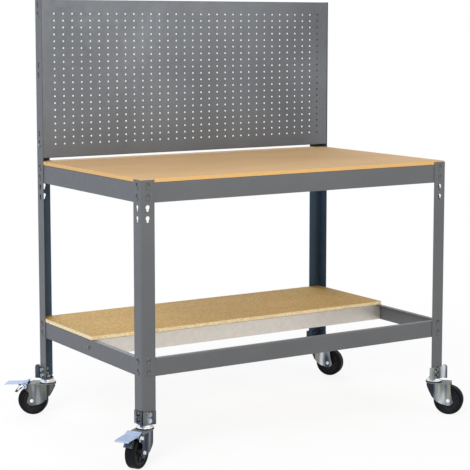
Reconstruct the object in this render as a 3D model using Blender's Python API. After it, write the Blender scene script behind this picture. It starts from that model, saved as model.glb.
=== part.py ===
"""A mobile workbench: boltless angle posts and beams, two boards, a pegboard and four swivel casters.

The origin is on the floor under the middle of the whole bench's box, casters and pedals included.
X points right, Y points to the rear and Z up, in metres.
"""

import math

import bmesh
import bpy
from mathutils import Matrix, Vector

# Plan and heights of the bench
BENCH_WIDTH = 1.200
BENCH_DEPTH = 0.750
POST_FOOT_HEIGHT = 0.134
REAR_POST_LENGTH = 1.314
WORKTOP_HEIGHT = 0.8945
FRONT_POST_DROP = 0.0035
SHELF_HEIGHT = 0.346
SHELF_FRONT_Y = -0.026

# Clearance between pieces that touch, and the length by which cutters pass the faces they cut
SEAT_GAP = 0.0003
OVERRUN = 0.002

# Angle posts, with keyholes along the middle of each flange
POST_FLANGE = 0.048
POST_SHEET = 0.002
POST_BEND_RADIUS = 0.004
KEYHOLE_PITCH = 0.034
KEYHOLE_EYE_RADIUS = 0.0064
KEYHOLE_EYE_RISE = 0.0034
KEYHOLE_FOOT_RADIUS = 0.0044
KEYHOLE_FOOT_DROP = 0.005
KEYHOLE_NECK_HALF_WIDTH = 0.0036
SPARE_KEYHOLES = 2

# Riveted beams: an upright web, and a ledge that the boards lie on
BEAM_SHEET = 0.0018
BEAM_LEDGE = 0.020
TOP_BEAM_HEIGHT = 0.062
LOW_BEAM_HEIGHT = 0.0555
RIVET_HEAD_RADIUS = 0.006
RIVET_HEAD_HEIGHT = 0.0022
RIVET_CROWN_SHARE = 0.62
RIVET_SHANK_RADIUS = 0.003
RIVET_PAIR_DROP = 0.0015

# Boards
BOARD_THICKNESS = 0.012
BOARD_EDGE_BEVEL = 0.0008

# Galvanised rail under the front edge of the shelf
RAIL_SHEET = 0.0015
RAIL_TOP_FLANGE = 0.022
RAIL_BOTTOM_FLANGE = 0.012
RAIL_TAB_LENGTH = 0.030
RAIL_SETBACK = 0.003
RAIL_BOLT_INSET = 0.018

# Pegboard: a folded tray with a field of holes
PANEL_SHEET = 0.0012
PANEL_RETURN = 0.040
PANEL_LIP = 0.015
PANEL_LIFT = 0.0115
PANEL_TOP_DROP = 0.0005
PANEL_SETBACK = 0.0005
PEG_HOLE_RADIUS = 0.0031
PEG_PITCH_X = 0.0344
PEG_PITCH_Z = 0.0235
PEG_MARGIN = 0.0475
PEG_COLUMN_STEP = 3
PEG_ROW_STEP = 2
PANEL_LOW_PAIR_RISE = 0.049
PANEL_HIGH_PAIR_DROP = 0.0515
PANEL_MIDDLE_PAIR_SHARE = 0.533

# Hexagon bolts: half the width across corners, head, nut and shank
M6_HEAD_RADIUS = 0.0058
M6_HEAD_HEIGHT = 0.004
M6_NUT_HEIGHT = 0.005
M6_SHANK_RADIUS = 0.003
M8_HEAD_RADIUS = 0.0075
M8_HEAD_HEIGHT = 0.0053
M8_NUT_HEIGHT = 0.0065
M8_SHANK_RADIUS = 0.004
BOLT_HOLE_PLAY = 0.0005

# Caster adaptors: a sheet folded round the foot of each post, with a pinched fold at its corner
ADAPTOR_SHEET = 0.0025
ADAPTOR_FACE_WING = 0.053
ADAPTOR_SIDE_WING = 0.048
ADAPTOR_TOP = 0.169
ADAPTOR_BOTTOM = 0.1275
ADAPTOR_FOLD_REACH = 0.014
ADAPTOR_FOLD_RISE = 0.006
ADAPTOR_FOLD_HALF_WIDTH = 0.003
ADAPTOR_FOLD_CHAMFER = 0.006
ADAPTOR_BASE_THICKNESS = 0.004
ADAPTOR_BASE_SPAN = 0.046
ADAPTOR_BASE_CLIP = 0.020
ADAPTOR_BOLT_HEIGHTS = (0.1415, 0.161)

# Casters, about the kingpin, with the wheel trailing along local +X
KINGPIN_INSET = 0.0205
KINGPIN_RADIUS = 0.005
KINGPIN_HEAD_RADIUS = 0.009
KINGPIN_HEAD_HEIGHT = 0.0042
KINGPIN_NUT_RADIUS = 0.0095
KINGPIN_NUT_HEIGHT = 0.0078
KINGPIN_PLAY = 0.0004
RACE_RADIUS = 0.0285
RACE_RIM_HEIGHT = 0.0055
RACE_SHOULDER_RADIUS = 0.021
RACE_RUNNING_GAP = 0.0005
CROWN_TOP = 0.1132
CROWN_THICKNESS = 0.003
CROWN_HALF_WIDTH = 0.0285
CROWN_REAR = 0.061
FORK_SHEET = 0.0025
FORK_HALF_WIDTH = 0.0255
FORK_LUG_RADIUS = 0.0175
FORK_SKIRT_SHARE = 0.25
FORK_WAIST_SHARES = (-0.05, 0.55)
FORK_KNEE_SHARES = (0.25, -0.31)
FORK_TOE_SHARES = (0.53, -0.69)
FORK_EAR_SHARE = 0.5
FORK_EAR_TOP_SHARE = 1.5
TRAIL = 0.053
WHEEL_RADIUS = 0.0515
TYRE_HALF_WIDTH = 0.017
TYRE_SHOULDER = 0.005
TYRE_INNER_RADIUS = 0.038
TYRE_BEAD_HALF_WIDTH = 0.0145
HUB_BOSS_RADIUS = 0.013
HUB_WEB_HALF_WIDTH = 0.009
HUB_RIM_WIDTH = 0.004
HUB_BORE_PLAY = 0.0005
AXLE_RADIUS = 0.004
AXLE_HEAD_RADIUS = 0.0066
AXLE_HEAD_HEIGHT = 0.0045

# Brakes on the two left casters
PEDAL_SHEET = 0.002
PEDAL_HALF_WIDTH = 0.025
PEDAL_PIVOT_X = 0.075
PEDAL_PIVOT_DROP = 0.010
PEDAL_PIN_RADIUS = 0.003
PEDAL_PIN_PLAY = 0.0004
PEDAL_PIN_STANDOUT = 0.002
PEDAL_EYE_SHARE = 2.0
PEDAL_CHEEK_DEPTH = 0.004
PEDAL_CHEEK_SHEET = 0.002
PEDAL_CHEEK_PLAY = 0.001
PEDAL_ROOT_X = 0.067
PEDAL_KINK_X = 0.088
PEDAL_TIP_X = 0.148
PEDAL_NOSE_X = 0.151
PEDAL_ROOT_RISE = 0.007
PEDAL_KINK_DROP = 0.0008
PEDAL_TIP_DROP = 0.0034
PEDAL_NOSE_DROP = 0.0066
SHOE_HALF_WIDTH = 0.011
SHOE_SHEET = 0.002
SHOE_ANGLE = 42.0
SHOE_REST_GAP = 0.0055
SHOE_PAD_LENGTH = 0.016
SHOE_BEND_X = 0.100
SHOE_SEAT_LENGTH = 0.016

# Heading of each caster's trail, in degrees from +X, and which corners have a brake
CORNERS = {
    "front_left": (-1, -1),
    "front_right": (1, -1),
    "rear_left": (-1, 1),
    "rear_right": (1, 1),
}
TRAIL_HEADINGS = {
    "front_left": 213.0,
    "front_right": 314.0,
    "rear_left": 143.0,
    "rear_right": 303.0,
}
BRAKED_CORNERS = ("front_left", "rear_left")

# Facets round each kind of curve
RIVET_SIDES = 6
BOLT_SIDES = 6
HOLE_SIDES = 6
PEG_SIDES = 6
PIN_SIDES = 8
ROUND_SIDES = 16
BEND_STEPS = 3
EYE_STEPS = 5
FOOT_STEPS = 3
ARC_STEPS = 5
LUG_ARC = (255, 350)
PEDAL_EYE_ARC = (180, 300)
SMOOTH_ANGLE = 35

# Places worked out from the sizes above
HALF_WIDTH = BENCH_WIDTH / 2
HALF_DEPTH = BENCH_DEPTH / 2
FLANGE_LINE = POST_FLANGE / 2
INNER_FACE = POST_SHEET + SEAT_GAP
TOP_BEAM_TOP = WORKTOP_HEIGHT - BOARD_THICKNESS - SEAT_GAP
LOW_BEAM_TOP = SHELF_HEIGHT - BOARD_THICKNESS - SEAT_GAP
TOP_BEAM_MIDDLE = TOP_BEAM_TOP - TOP_BEAM_HEIGHT / 2
LOW_BEAM_MIDDLE = LOW_BEAM_TOP - LOW_BEAM_HEIGHT / 2
REAR_POST_TOP = POST_FOOT_HEIGHT + REAR_POST_LENGTH
FRONT_POST_TOP = WORKTOP_HEIGHT - FRONT_POST_DROP
PANEL_FRONT_Y = HALF_DEPTH - POST_FLANGE + PANEL_SETBACK
PANEL_BOTTOM = WORKTOP_HEIGHT + PANEL_LIFT
PANEL_TOP = REAR_POST_TOP - PANEL_TOP_DROP
PEDAL_PIVOT_Z = CROWN_TOP - PEDAL_PIVOT_DROP

UP = Vector((0, 0, 1))


def clear_scene():
    """Removes what the scene holds at the start."""
    for thing in list(bpy.data.objects):
        bpy.data.objects.remove(thing, do_unlink=True)


def material(name, colour, roughness, metallic):
    """A Principled material of one finish."""
    made = bpy.data.materials.new(name)
    made.use_nodes = True
    shader = made.node_tree.nodes["Principled BSDF"]
    shader.inputs["Base Color"].default_value = (*colour, 1)
    shader.inputs["Roughness"].default_value = roughness
    shader.inputs["Metallic"].default_value = metallic
    return made


def arc(centre, radius, start, end, steps):
    """Points along a circular arc from one angle to another, in degrees."""
    angles = [math.radians(start + (end - start) * step / steps) for step in range(steps + 1)]
    return [
        (centre[0] + radius * math.cos(angle), centre[1] + radius * math.sin(angle))
        for angle in angles
    ]


def rectangle(low, high):
    """The corners of an upright rectangle between two opposite corners."""
    return [(low[0], low[1]), (high[0], low[1]), (high[0], high[1]), (low[0], high[1])]


def bore(centre, radius, sides):
    """The outline of a round hole whose flats lie at its radius, so that a pin of that radius fits."""
    return arc(centre, radius / math.cos(math.pi / sides), 0, 360, sides)[:-1]


def add_prism(mesh, outline, travel):
    """Extrudes a flat outline of 3-D points along a vector."""
    face = mesh.faces.new([mesh.verts.new(point) for point in outline])
    made = bmesh.ops.extrude_face_region(mesh, geom=[face])
    moved = [item for item in made["geom"] if isinstance(item, bmesh.types.BMVert)]
    bmesh.ops.translate(mesh, verts=moved, vec=travel)


def add_upright_prism(mesh, outline, low, high):
    """Extrudes a plan outline from one height to another."""
    add_prism(mesh, [(x, y, low) for x, y in outline], UP * (high - low))


def add_turned(mesh, profile, sides, place):
    """Spins a profile of (radius, height) points round the z axis, then moves it to its place."""
    turned = bmesh.new()
    points = [turned.verts.new((radius, 0, height)) for radius, height in profile]
    edges = [turned.edges.new(pair) for pair in zip(points, points[1:])]
    if profile[0][0] and profile[-1][0]:
        edges.append(turned.edges.new((points[-1], points[0])))
    bmesh.ops.spin(turned, geom=points + edges, cent=(0, 0, 0), axis=UP, angle=math.tau, steps=sides)
    bmesh.ops.remove_doubles(turned, verts=turned.verts, dist=SEAT_GAP / 100)
    bmesh.ops.transform(turned, matrix=place, verts=turned.verts)
    data = bpy.data.meshes.new("turned")
    turned.to_mesh(data)
    turned.free()
    mesh.from_mesh(data)
    bpy.data.meshes.remove(data)


def facing(direction, origin):
    """A placing matrix that turns local z to a direction and moves to an origin."""
    turn = UP.rotation_difference(Vector(direction)).to_matrix().to_4x4()
    return Matrix.Translation(Vector(origin)) @ turn


def finish_mesh(name, mesh):
    """Writes a bmesh to a mesh with its faces pointing out."""
    bmesh.ops.recalc_face_normals(mesh, faces=mesh.faces)
    data = bpy.data.meshes.new(name)
    mesh.to_mesh(data)
    mesh.free()
    return data


def make_piece(name, mesh, finish, location=(0, 0, 0), parent=None, smooth=False):
    """Makes a named piece from a bmesh, at its place."""
    data = finish_mesh(name, mesh)
    data.materials.append(finish)
    if smooth:
        data.shade_smooth()
        data.set_sharp_from_angle(angle=math.radians(SMOOTH_ANGLE))
    piece = bpy.data.objects.new(name, data)
    piece.location = location
    piece.parent = parent
    bpy.context.collection.objects.link(piece)
    return piece


def combine(piece, label, mesh, operation):
    """Adds, cuts or keeps what a hidden tool shape shares with a piece, as a Boolean modifier."""
    tool = bpy.data.objects.new(f"{piece.name}_{label}", finish_mesh(label, mesh))
    tool.parent = piece
    tool.hide_render = True
    tool.display_type = "WIRE"
    bpy.context.collection.objects.link(tool)
    boolean = piece.modifiers.new(label, "BOOLEAN")
    boolean.operation = operation
    boolean.object = tool
    return tool


def make_pivot(name, location, parent=None, heading=0.0):
    """An empty on a joint's axis, which the moving pieces hang from."""
    pivot = bpy.data.objects.new(name, None)
    pivot.location = location
    pivot.rotation_euler = (0, 0, math.radians(heading))
    pivot.parent = parent
    bpy.context.collection.objects.link(pivot)
    return pivot


def keyhole_outline(height):
    """A keyhole round a height: a wide round eye above, and a smaller round foot below a short neck."""
    eye_turn = math.degrees(math.acos(KEYHOLE_NECK_HALF_WIDTH / KEYHOLE_EYE_RADIUS))
    foot_turn = math.degrees(math.acos(KEYHOLE_NECK_HALF_WIDTH / KEYHOLE_FOOT_RADIUS))
    above, below = height + KEYHOLE_EYE_RISE, height - KEYHOLE_FOOT_DROP
    eye = arc((0, above), KEYHOLE_EYE_RADIUS, -eye_turn, 180 + eye_turn, EYE_STEPS)
    foot = arc((0, below), KEYHOLE_FOOT_RADIUS, 180 - foot_turn, 360 + foot_turn, FOOT_STEPS)
    return eye + foot


def hexagon_bolt_profile(grip, head_radius, head_height, shank_radius, nut_height):
    """The turned profile of a bolt with its nut, gripping from height zero up to the grip."""
    return [
        (0, -head_height),
        (head_radius, -head_height),
        (head_radius, 0),
        (shank_radius, 0),
        (shank_radius, grip),
        (head_radius, grip),
        (head_radius, grip + nut_height),
        (0, grip + nut_height),
    ]


def post_keyhole_heights():
    """Heights of the keyholes that take the beams' rivets, with the spare ones below the top joint."""
    rise = KEYHOLE_PITCH / 2 - RIVET_PAIR_DROP + KEYHOLE_FOOT_DROP
    top = TOP_BEAM_MIDDLE + rise
    low = LOW_BEAM_MIDDLE + rise
    heights = [top - KEYHOLE_PITCH * step for step in range(2 + SPARE_KEYHOLES)]
    return heights + [low, low - KEYHOLE_PITCH]


def panel_keyhole_heights():
    """Heights of the low, middle and high pairs of keyholes beside the pegboard, the lower one of each."""
    low = PANEL_BOTTOM + PANEL_LOW_PAIR_RISE
    high = PANEL_TOP - PANEL_HIGH_PAIR_DROP
    return [low, low + (high - low) * PANEL_MIDDLE_PAIR_SHARE, high]


def panel_bolt_heights():
    """Heights of the pegboard's bolts, in the feet of the lowest and of the highest pair of keyholes."""
    low, _, high = panel_keyhole_heights()
    return {"low": low - KEYHOLE_FOOT_DROP, "high": high - KEYHOLE_FOOT_DROP}


def make_post(corner, top, finish):
    """An angle post with a rounded bend, its outer corner on the bench's plan corner."""
    length = top - POST_FOOT_HEIGHT
    side, end = CORNERS[corner]
    inner_radius = POST_BEND_RADIUS - POST_SHEET
    bend = (POST_BEND_RADIUS, POST_BEND_RADIUS)
    outline = [(POST_SHEET, POST_FLANGE), (0, POST_FLANGE)]
    outline += arc(bend, POST_BEND_RADIUS, 180, 270, BEND_STEPS)
    outline += [(POST_FLANGE, 0), (POST_FLANGE, POST_SHEET)]
    outline += arc(bend, inner_radius, 270, 180, BEND_STEPS - 1)
    mesh = bmesh.new()
    add_upright_prism(mesh, [(-side * u, -end * v) for u, v in outline], 0, length)
    place = (side * HALF_WIDTH, end * HALF_DEPTH, POST_FOOT_HEIGHT)
    post = make_piece(f"{corner}_post", mesh, finish, place)

    holes = bmesh.new()
    through = POST_SHEET + 2 * OVERRUN
    line = FLANGE_LINE
    for height in post_keyhole_heights():
        outline = keyhole_outline(height - POST_FOOT_HEIGHT)
        along_x = [(-side * (line + s), end * OVERRUN, z) for s, z in outline]
        along_y = [(side * OVERRUN, -end * (line + s), z) for s, z in outline]
        add_prism(holes, along_x, Vector((0, -end * through, 0)))
        add_prism(holes, along_y, Vector((-side * through, 0, 0)))
    if end > 0:
        for height in panel_keyhole_heights():
            for step in (0, 1):
                level = height + step * KEYHOLE_PITCH - POST_FOOT_HEIGHT
                outline = keyhole_outline(level)
                along_y = [(side * OVERRUN, -end * (line + s), z) for s, z in outline]
                add_prism(holes, along_y, Vector((-side * through, 0, 0)))
    radius = M8_SHANK_RADIUS + BOLT_HOLE_PLAY
    for height in ADAPTOR_BOLT_HEIGHTS:
        ring = bore((0, height - POST_FOOT_HEIGHT), radius, HOLE_SIDES)
        along_x = [(-side * (line + s), end * OVERRUN, z) for s, z in ring]
        along_y = [(side * OVERRUN, -end * (line + s), z) for s, z in ring]
        add_prism(holes, along_x, Vector((0, -end * through, 0)))
        add_prism(holes, along_y, Vector((-side * through, 0, 0)))
    combine(post, "holes", holes, "DIFFERENCE")
    return post


def make_beam(name, along, inward, half_span, web_end, ledge_end, top, height, finish):
    """A riveted beam on one side of the bench, with its rivets in the posts' keyholes.

    The web stops web_end short of the plan corner and the ledge stops ledge_end short of it.
    """
    along, inward = Vector(along), Vector(inward)
    web_outer, web_inner = INNER_FACE, INNER_FACE + BEAM_SHEET

    def point(s, n, z):
        return along * s + inward * n + UP * z

    web_half = half_span - web_end
    ledge_outer = INNER_FACE + BEAM_LEDGE
    section = [
        (web_outer, top - height),
        (web_inner, top - height),
        (web_inner, top - BEAM_SHEET),
        (ledge_outer, top - BEAM_SHEET),
        (ledge_outer, top),
        (web_outer, top),
    ]
    mesh = bmesh.new()
    add_prism(mesh, [point(-web_half, n, z) for n, z in section], along * (2 * web_half))
    origin = -inward * (HALF_DEPTH if abs(inward.y) else HALF_WIDTH)
    beam = make_piece(name, mesh, finish, origin)

    corners = bmesh.new()
    low = (web_inner, top - BEAM_SHEET - OVERRUN)
    high = (ledge_outer + OVERRUN, top + OVERRUN)
    ledge_half = half_span - ledge_end
    for start, travel in ((-web_half - OVERRUN, 1), (web_half + OVERRUN, -1)):
        outline = [point(start, n, z) for n, z in rectangle(low, high)]
        add_prism(corners, outline, along * travel * (web_half + OVERRUN - ledge_half))
    combine(beam, "ledge_corners", corners, "DIFFERENCE")

    rivets = bmesh.new()
    root = INNER_FACE + BEAM_SHEET / 2
    head_under = root + SEAT_GAP
    profile = [
        (0, 0),
        (RIVET_SHANK_RADIUS, 0),
        (RIVET_SHANK_RADIUS, head_under),
        (RIVET_HEAD_RADIUS, head_under),
        (RIVET_HEAD_RADIUS * RIVET_CROWN_SHARE, head_under + RIVET_HEAD_HEIGHT),
        (0, head_under + RIVET_HEAD_HEIGHT),
    ]
    middle = top - height / 2 - RIVET_PAIR_DROP
    for s in (-(half_span - FLANGE_LINE), half_span - FLANGE_LINE):
        for z in (middle - KEYHOLE_PITCH / 2, middle + KEYHOLE_PITCH / 2):
            add_turned(rivets, profile, RIVET_SIDES, facing(-inward, point(s, root, z)))
    combine(beam, "rivets", rivets, "UNION")
    return beam


def make_beams(finish):
    """The eight beams, four under the worktop and four under the shelf."""
    long_web_end = POST_BEND_RADIUS + SEAT_GAP
    long_ledge_end = INNER_FACE + BEAM_SHEET + SEAT_GAP
    side_ledge_end = INNER_FACE + BEAM_LEDGE + SEAT_GAP
    levels = {
        "top": (TOP_BEAM_TOP, TOP_BEAM_HEIGHT),
        "low": (LOW_BEAM_TOP, LOW_BEAM_HEIGHT),
    }
    for level, (top, height) in levels.items():
        for side, inward in (("front", (0, 1, 0)), ("rear", (0, -1, 0))):
            make_beam(
                f"{side}_{level}_beam", (1, 0, 0), inward, HALF_WIDTH,
                long_web_end, long_ledge_end, top, height, finish,
            )
        for side, inward in (("left", (1, 0, 0)), ("right", (-1, 0, 0))):
            make_beam(
                f"{side}_{level}_beam", (0, 1, 0), inward, HALF_DEPTH,
                long_ledge_end, side_ledge_end, top, height, finish,
            )


def make_board(name, front, rear, top, clipped_front, finish):
    """A board that lies inside the posts, with its corners clipped clear of the posts' bends."""
    edge = HALF_WIDTH - INNER_FACE
    clip = POST_BEND_RADIUS + SEAT_GAP - POST_SHEET
    outline = [(edge - clip, rear), (clip - edge, rear), (-edge, rear - clip)]
    if clipped_front:
        outline += [(-edge, front + clip), (clip - edge, front), (edge - clip, front), (edge, front + clip)]
    else:
        outline += [(-edge, front), (edge, front)]
    outline.append((edge, rear - clip))
    mesh = bmesh.new()
    add_upright_prism(mesh, outline, -BOARD_THICKNESS, 0)
    board = make_piece(name, mesh, finish, (0, 0, top))
    bevel = board.modifiers.new("edges", "BEVEL")
    bevel.width = BOARD_EDGE_BEVEL
    bevel.segments = 1
    return board


def make_shelf_rail(finish):
    """The galvanised rail that carries the shelf's front edge, bolted between the low side beams."""
    half = HALF_WIDTH - INNER_FACE - BEAM_SHEET - SEAT_GAP
    front = SHELF_FRONT_Y + RAIL_SETBACK
    top = LOW_BEAM_TOP
    bottom = LOW_BEAM_TOP - LOW_BEAM_HEIGHT
    section = [
        (0, bottom),
        (RAIL_BOTTOM_FLANGE, bottom),
        (RAIL_BOTTOM_FLANGE, bottom + RAIL_SHEET),
        (RAIL_SHEET, bottom + RAIL_SHEET),
        (RAIL_SHEET, top - RAIL_SHEET),
        (RAIL_TOP_FLANGE, top - RAIL_SHEET),
        (RAIL_TOP_FLANGE, top),
        (0, top),
    ]
    mesh = bmesh.new()
    add_prism(mesh, [(-half, y, z) for y, z in section], Vector((2 * half, 0, 0)))
    rail = make_piece("shelf_rail", mesh, finish, (0, front, 0))

    tabs = bmesh.new()
    tab_top = top - BEAM_SHEET - SEAT_GAP
    low, high = (RAIL_SHEET / 2, bottom + RAIL_SHEET / 2), (RAIL_TAB_LENGTH, tab_top)
    for side in (-1, 1):
        outline = [(side * half, y, z) for y, z in rectangle(low, high)]
        add_prism(tabs, outline, Vector((-side * RAIL_SHEET, 0, 0)))
    combine(rail, "tabs", tabs, "UNION")

    notches = bmesh.new()
    reach = BEAM_LEDGE - BEAM_SHEET
    for side in (-1, 1):
        low = (-OVERRUN, tab_top)
        high = (RAIL_TAB_LENGTH + OVERRUN, top + OVERRUN)
        outline = [(side * (half + OVERRUN), y, z) for y, z in rectangle(low, high)]
        add_prism(notches, outline, Vector((-side * (reach + OVERRUN), 0, 0)))
    radius = M6_SHANK_RADIUS + BOLT_HOLE_PLAY
    middle = LOW_BEAM_MIDDLE
    for side in (-1, 1):
        ring = bore((RAIL_BOLT_INSET, middle), radius, HOLE_SIDES)
        outline = [(side * (half + OVERRUN), y, z) for y, z in ring]
        add_prism(notches, outline, Vector((-side * (RAIL_SHEET + 2 * OVERRUN), 0, 0)))
    combine(rail, "notches", notches, "DIFFERENCE")
    return front + RAIL_BOLT_INSET, middle


def make_bolt(name, origin, direction, grip, sizes, finish):
    """A hexagon bolt with its nut, its head's underside at the origin, pointing along a direction."""
    head_radius, head_height, shank_radius, nut_height = sizes
    mesh = bmesh.new()
    profile = hexagon_bolt_profile(grip, head_radius, head_height, shank_radius, nut_height)
    add_turned(mesh, profile, BOLT_SIDES, facing(direction, (0, 0, 0)))
    return make_piece(name, mesh, finish, origin)


def make_rail_bolts(place_y, place_z, side_beams, finish):
    """One bolt at each end of the shelf rail, through the low side beam and the rail's tab."""
    sizes = (M6_HEAD_RADIUS, M6_HEAD_HEIGHT, M6_SHANK_RADIUS, M6_NUT_HEIGHT)
    grip = BEAM_SHEET + RAIL_SHEET + 3 * SEAT_GAP
    outer = HALF_WIDTH - INNER_FACE + SEAT_GAP
    for name, side in (("left", -1), ("right", 1)):
        beam = side_beams[name]
        hole = bmesh.new()
        radius = M6_SHANK_RADIUS + BOLT_HOLE_PLAY
        ring = bore((place_y, place_z), radius, HOLE_SIDES)
        start = side * (outer + OVERRUN) - beam.location.x
        outline = [(start, y, z) for y, z in ring]
        add_prism(hole, outline, Vector((-side * (BEAM_SHEET + 2 * OVERRUN), 0, 0)))
        combine(beam, "rail_bolt_hole", hole, "DIFFERENCE")
        place = (side * outer, place_y, place_z)
        make_bolt(f"shelf_rail_bolt_{name}", place, (-side, 0, 0), grip, sizes, finish)


def make_pegboard(finish):
    """The pegboard: a tray folded back on all four sides, with a field of round holes."""
    half = HALF_WIDTH - INNER_FACE
    height = PANEL_TOP - PANEL_BOTTOM
    mesh = bmesh.new()
    plan = rectangle((-half, 0), (half, PANEL_RETURN))
    add_upright_prism(mesh, plan, 0, height)
    board = make_piece("pegboard", mesh, finish, (0, PANEL_FRONT_Y, PANEL_BOTTOM))

    hollow = bmesh.new()
    inner = half - PANEL_SHEET
    section = [
        (PANEL_SHEET, PANEL_SHEET),
        (PANEL_LIP, PANEL_SHEET),
        (PANEL_LIP, -OVERRUN),
        (PANEL_RETURN + OVERRUN, -OVERRUN),
        (PANEL_RETURN + OVERRUN, height + OVERRUN),
        (PANEL_LIP, height + OVERRUN),
        (PANEL_LIP, height - PANEL_SHEET),
        (PANEL_SHEET, height - PANEL_SHEET),
    ]
    add_prism(hollow, [(-inner, y, z) for y, z in section], Vector((2 * inner, 0, 0)))
    combine(board, "hollow", hollow, "DIFFERENCE")

    holes = bmesh.new()
    columns = round((half - PEG_MARGIN) * 2 / PEG_PITCH_X) + 1
    rows = round((height - PEG_MARGIN * 2) / PEG_PITCH_Z) + 1
    first_x = -PEG_PITCH_X * (columns - 1) / 2
    first_z = height - PEG_MARGIN
    for column in range(1, columns, PEG_COLUMN_STEP):
        for row in range(0, rows, PEG_ROW_STEP):
            centre = (first_x + column * PEG_PITCH_X, first_z - row * PEG_PITCH_Z)
            ring = bore(centre, PEG_HOLE_RADIUS, PEG_SIDES)
            outline = [(x, -OVERRUN, z) for x, z in ring]
            add_prism(holes, outline, Vector((0, PANEL_SHEET + 2 * OVERRUN, 0)))
    radius = M6_SHANK_RADIUS + BOLT_HOLE_PLAY
    for x in (-half - OVERRUN, inner - OVERRUN):
        for level in panel_bolt_heights().values():
            across = HALF_DEPTH - FLANGE_LINE - PANEL_FRONT_Y
            ring = bore((across, level - PANEL_BOTTOM), radius, HOLE_SIDES)
            outline = [(x, y, z) for y, z in ring]
            add_prism(holes, outline, Vector((PANEL_SHEET + 2 * OVERRUN, 0, 0)))
    combine(board, "holes", holes, "DIFFERENCE")
    return board


def make_panel_bolts(finish):
    """The bolts that hold the pegboard's folded sides to the rear posts."""
    sizes = (M6_HEAD_RADIUS, M6_HEAD_HEIGHT, M6_SHANK_RADIUS, M6_NUT_HEIGHT)
    grip = POST_SHEET + PANEL_SHEET + 3 * SEAT_GAP
    for name, side in (("left", -1), ("right", 1)):
        for label, level in panel_bolt_heights().items():
            place = (side * (HALF_WIDTH + SEAT_GAP), HALF_DEPTH - FLANGE_LINE, level)
            make_bolt(f"pegboard_bolt_{name}_{label}", place, (-side, 0, 0), grip, sizes, finish)


def make_adaptor(corner, finish):
    """The folded bracket bolted round a post's foot, with the plate that holds the kingpin."""
    side, end = CORNERS[corner]

    def plan(u, v):
        return (-side * u, -end * v)

    inner = -SEAT_GAP
    outer = inner - ADAPTOR_SHEET
    face_end = outer + ADAPTOR_FACE_WING
    side_end = outer + ADAPTOR_SIDE_WING
    half_fold = ADAPTOR_FOLD_HALF_WIDTH * math.sqrt(2)
    reach = ADAPTOR_FOLD_REACH / math.sqrt(2)
    fold = [
        (outer, outer + half_fold),
        (outer - reach, outer + half_fold - reach),
        (outer + half_fold - reach, outer - reach),
        (outer + half_fold, outer),
    ]
    outline = [(inner, side_end), (outer, side_end), *fold]
    outline += [(face_end, outer), (face_end, inner), (inner, inner)]
    height = ADAPTOR_TOP - ADAPTOR_BOTTOM
    fold_height = height + ADAPTOR_FOLD_RISE
    mesh = bmesh.new()
    add_upright_prism(mesh, [plan(u, v) for u, v in outline], 0, height)
    place = (side * HALF_WIDTH, end * HALF_DEPTH, ADAPTOR_BOTTOM)
    adaptor = make_piece(f"{corner}_adaptor", mesh, finish, place)

    added = bmesh.new()
    base_in = inner - ADAPTOR_SHEET / 2
    base = [
        (base_in, base_in),
        (ADAPTOR_BASE_SPAN, base_in),
        (ADAPTOR_BASE_SPAN, ADAPTOR_BASE_SPAN - ADAPTOR_BASE_CLIP),
        (ADAPTOR_BASE_SPAN - ADAPTOR_BASE_CLIP, ADAPTOR_BASE_SPAN),
        (base_in, ADAPTOR_BASE_SPAN),
    ]
    add_upright_prism(added, [plan(u, v) for u, v in base], 0, ADAPTOR_BASE_THICKNESS)
    add_upright_prism(added, [plan(u, v) for u, v in fold], ADAPTOR_BASE_THICKNESS, fold_height)
    grip = ADAPTOR_SHEET / 2 + SEAT_GAP + POST_SHEET + SEAT_GAP
    head = ADAPTOR_SHEET / 2 + M8_HEAD_HEIGHT
    profile = hexagon_bolt_profile(grip, M8_HEAD_RADIUS, head, M8_SHANK_RADIUS, M8_NUT_HEIGHT)
    for level in ADAPTOR_BOLT_HEIGHTS:
        z = level - ADAPTOR_BOTTOM
        seat = inner - ADAPTOR_SHEET / 2
        x, y = plan(FLANGE_LINE, seat)
        add_turned(added, profile, BOLT_SIDES, facing((0, -end, 0), (x, y, z)))
        x, y = plan(seat, FLANGE_LINE)
        add_turned(added, profile, BOLT_SIDES, facing((-side, 0, 0), (x, y, z)))
    combine(adaptor, "base_and_bolts", added, "UNION")

    cuts = bmesh.new()
    radius = KINGPIN_RADIUS + KINGPIN_PLAY
    ring = bore(plan(KINGPIN_INSET, KINGPIN_INSET), radius, HOLE_SIDES)
    add_upright_prism(cuts, ring, -OVERRUN, ADAPTOR_BASE_THICKNESS + OVERRUN)
    tip = outer - reach
    tip_cut = ADAPTOR_FOLD_CHAMFER / math.sqrt(2)
    half = half_fold + OVERRUN
    wedge = [
        (*plan(tip - OVERRUN, tip - OVERRUN), fold_height - ADAPTOR_FOLD_CHAMFER - OVERRUN * math.sqrt(2)),
        (*plan(tip + tip_cut + OVERRUN, tip + tip_cut + OVERRUN), fold_height + OVERRUN * math.sqrt(2)),
        (*plan(tip - OVERRUN, tip - OVERRUN), fold_height + OVERRUN * math.sqrt(2)),
    ]
    across = Vector((*plan(half, -half), 0))
    add_prism(cuts, [Vector(point) - across for point in wedge], 2 * across)
    combine(adaptor, "cuts", cuts, "DIFFERENCE")
    return adaptor


def kingpin_place(corner):
    """The plan position of a caster's kingpin."""
    side, end = CORNERS[corner]
    return (side * (HALF_WIDTH - KINGPIN_INSET), end * (HALF_DEPTH - KINGPIN_INSET))


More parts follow.
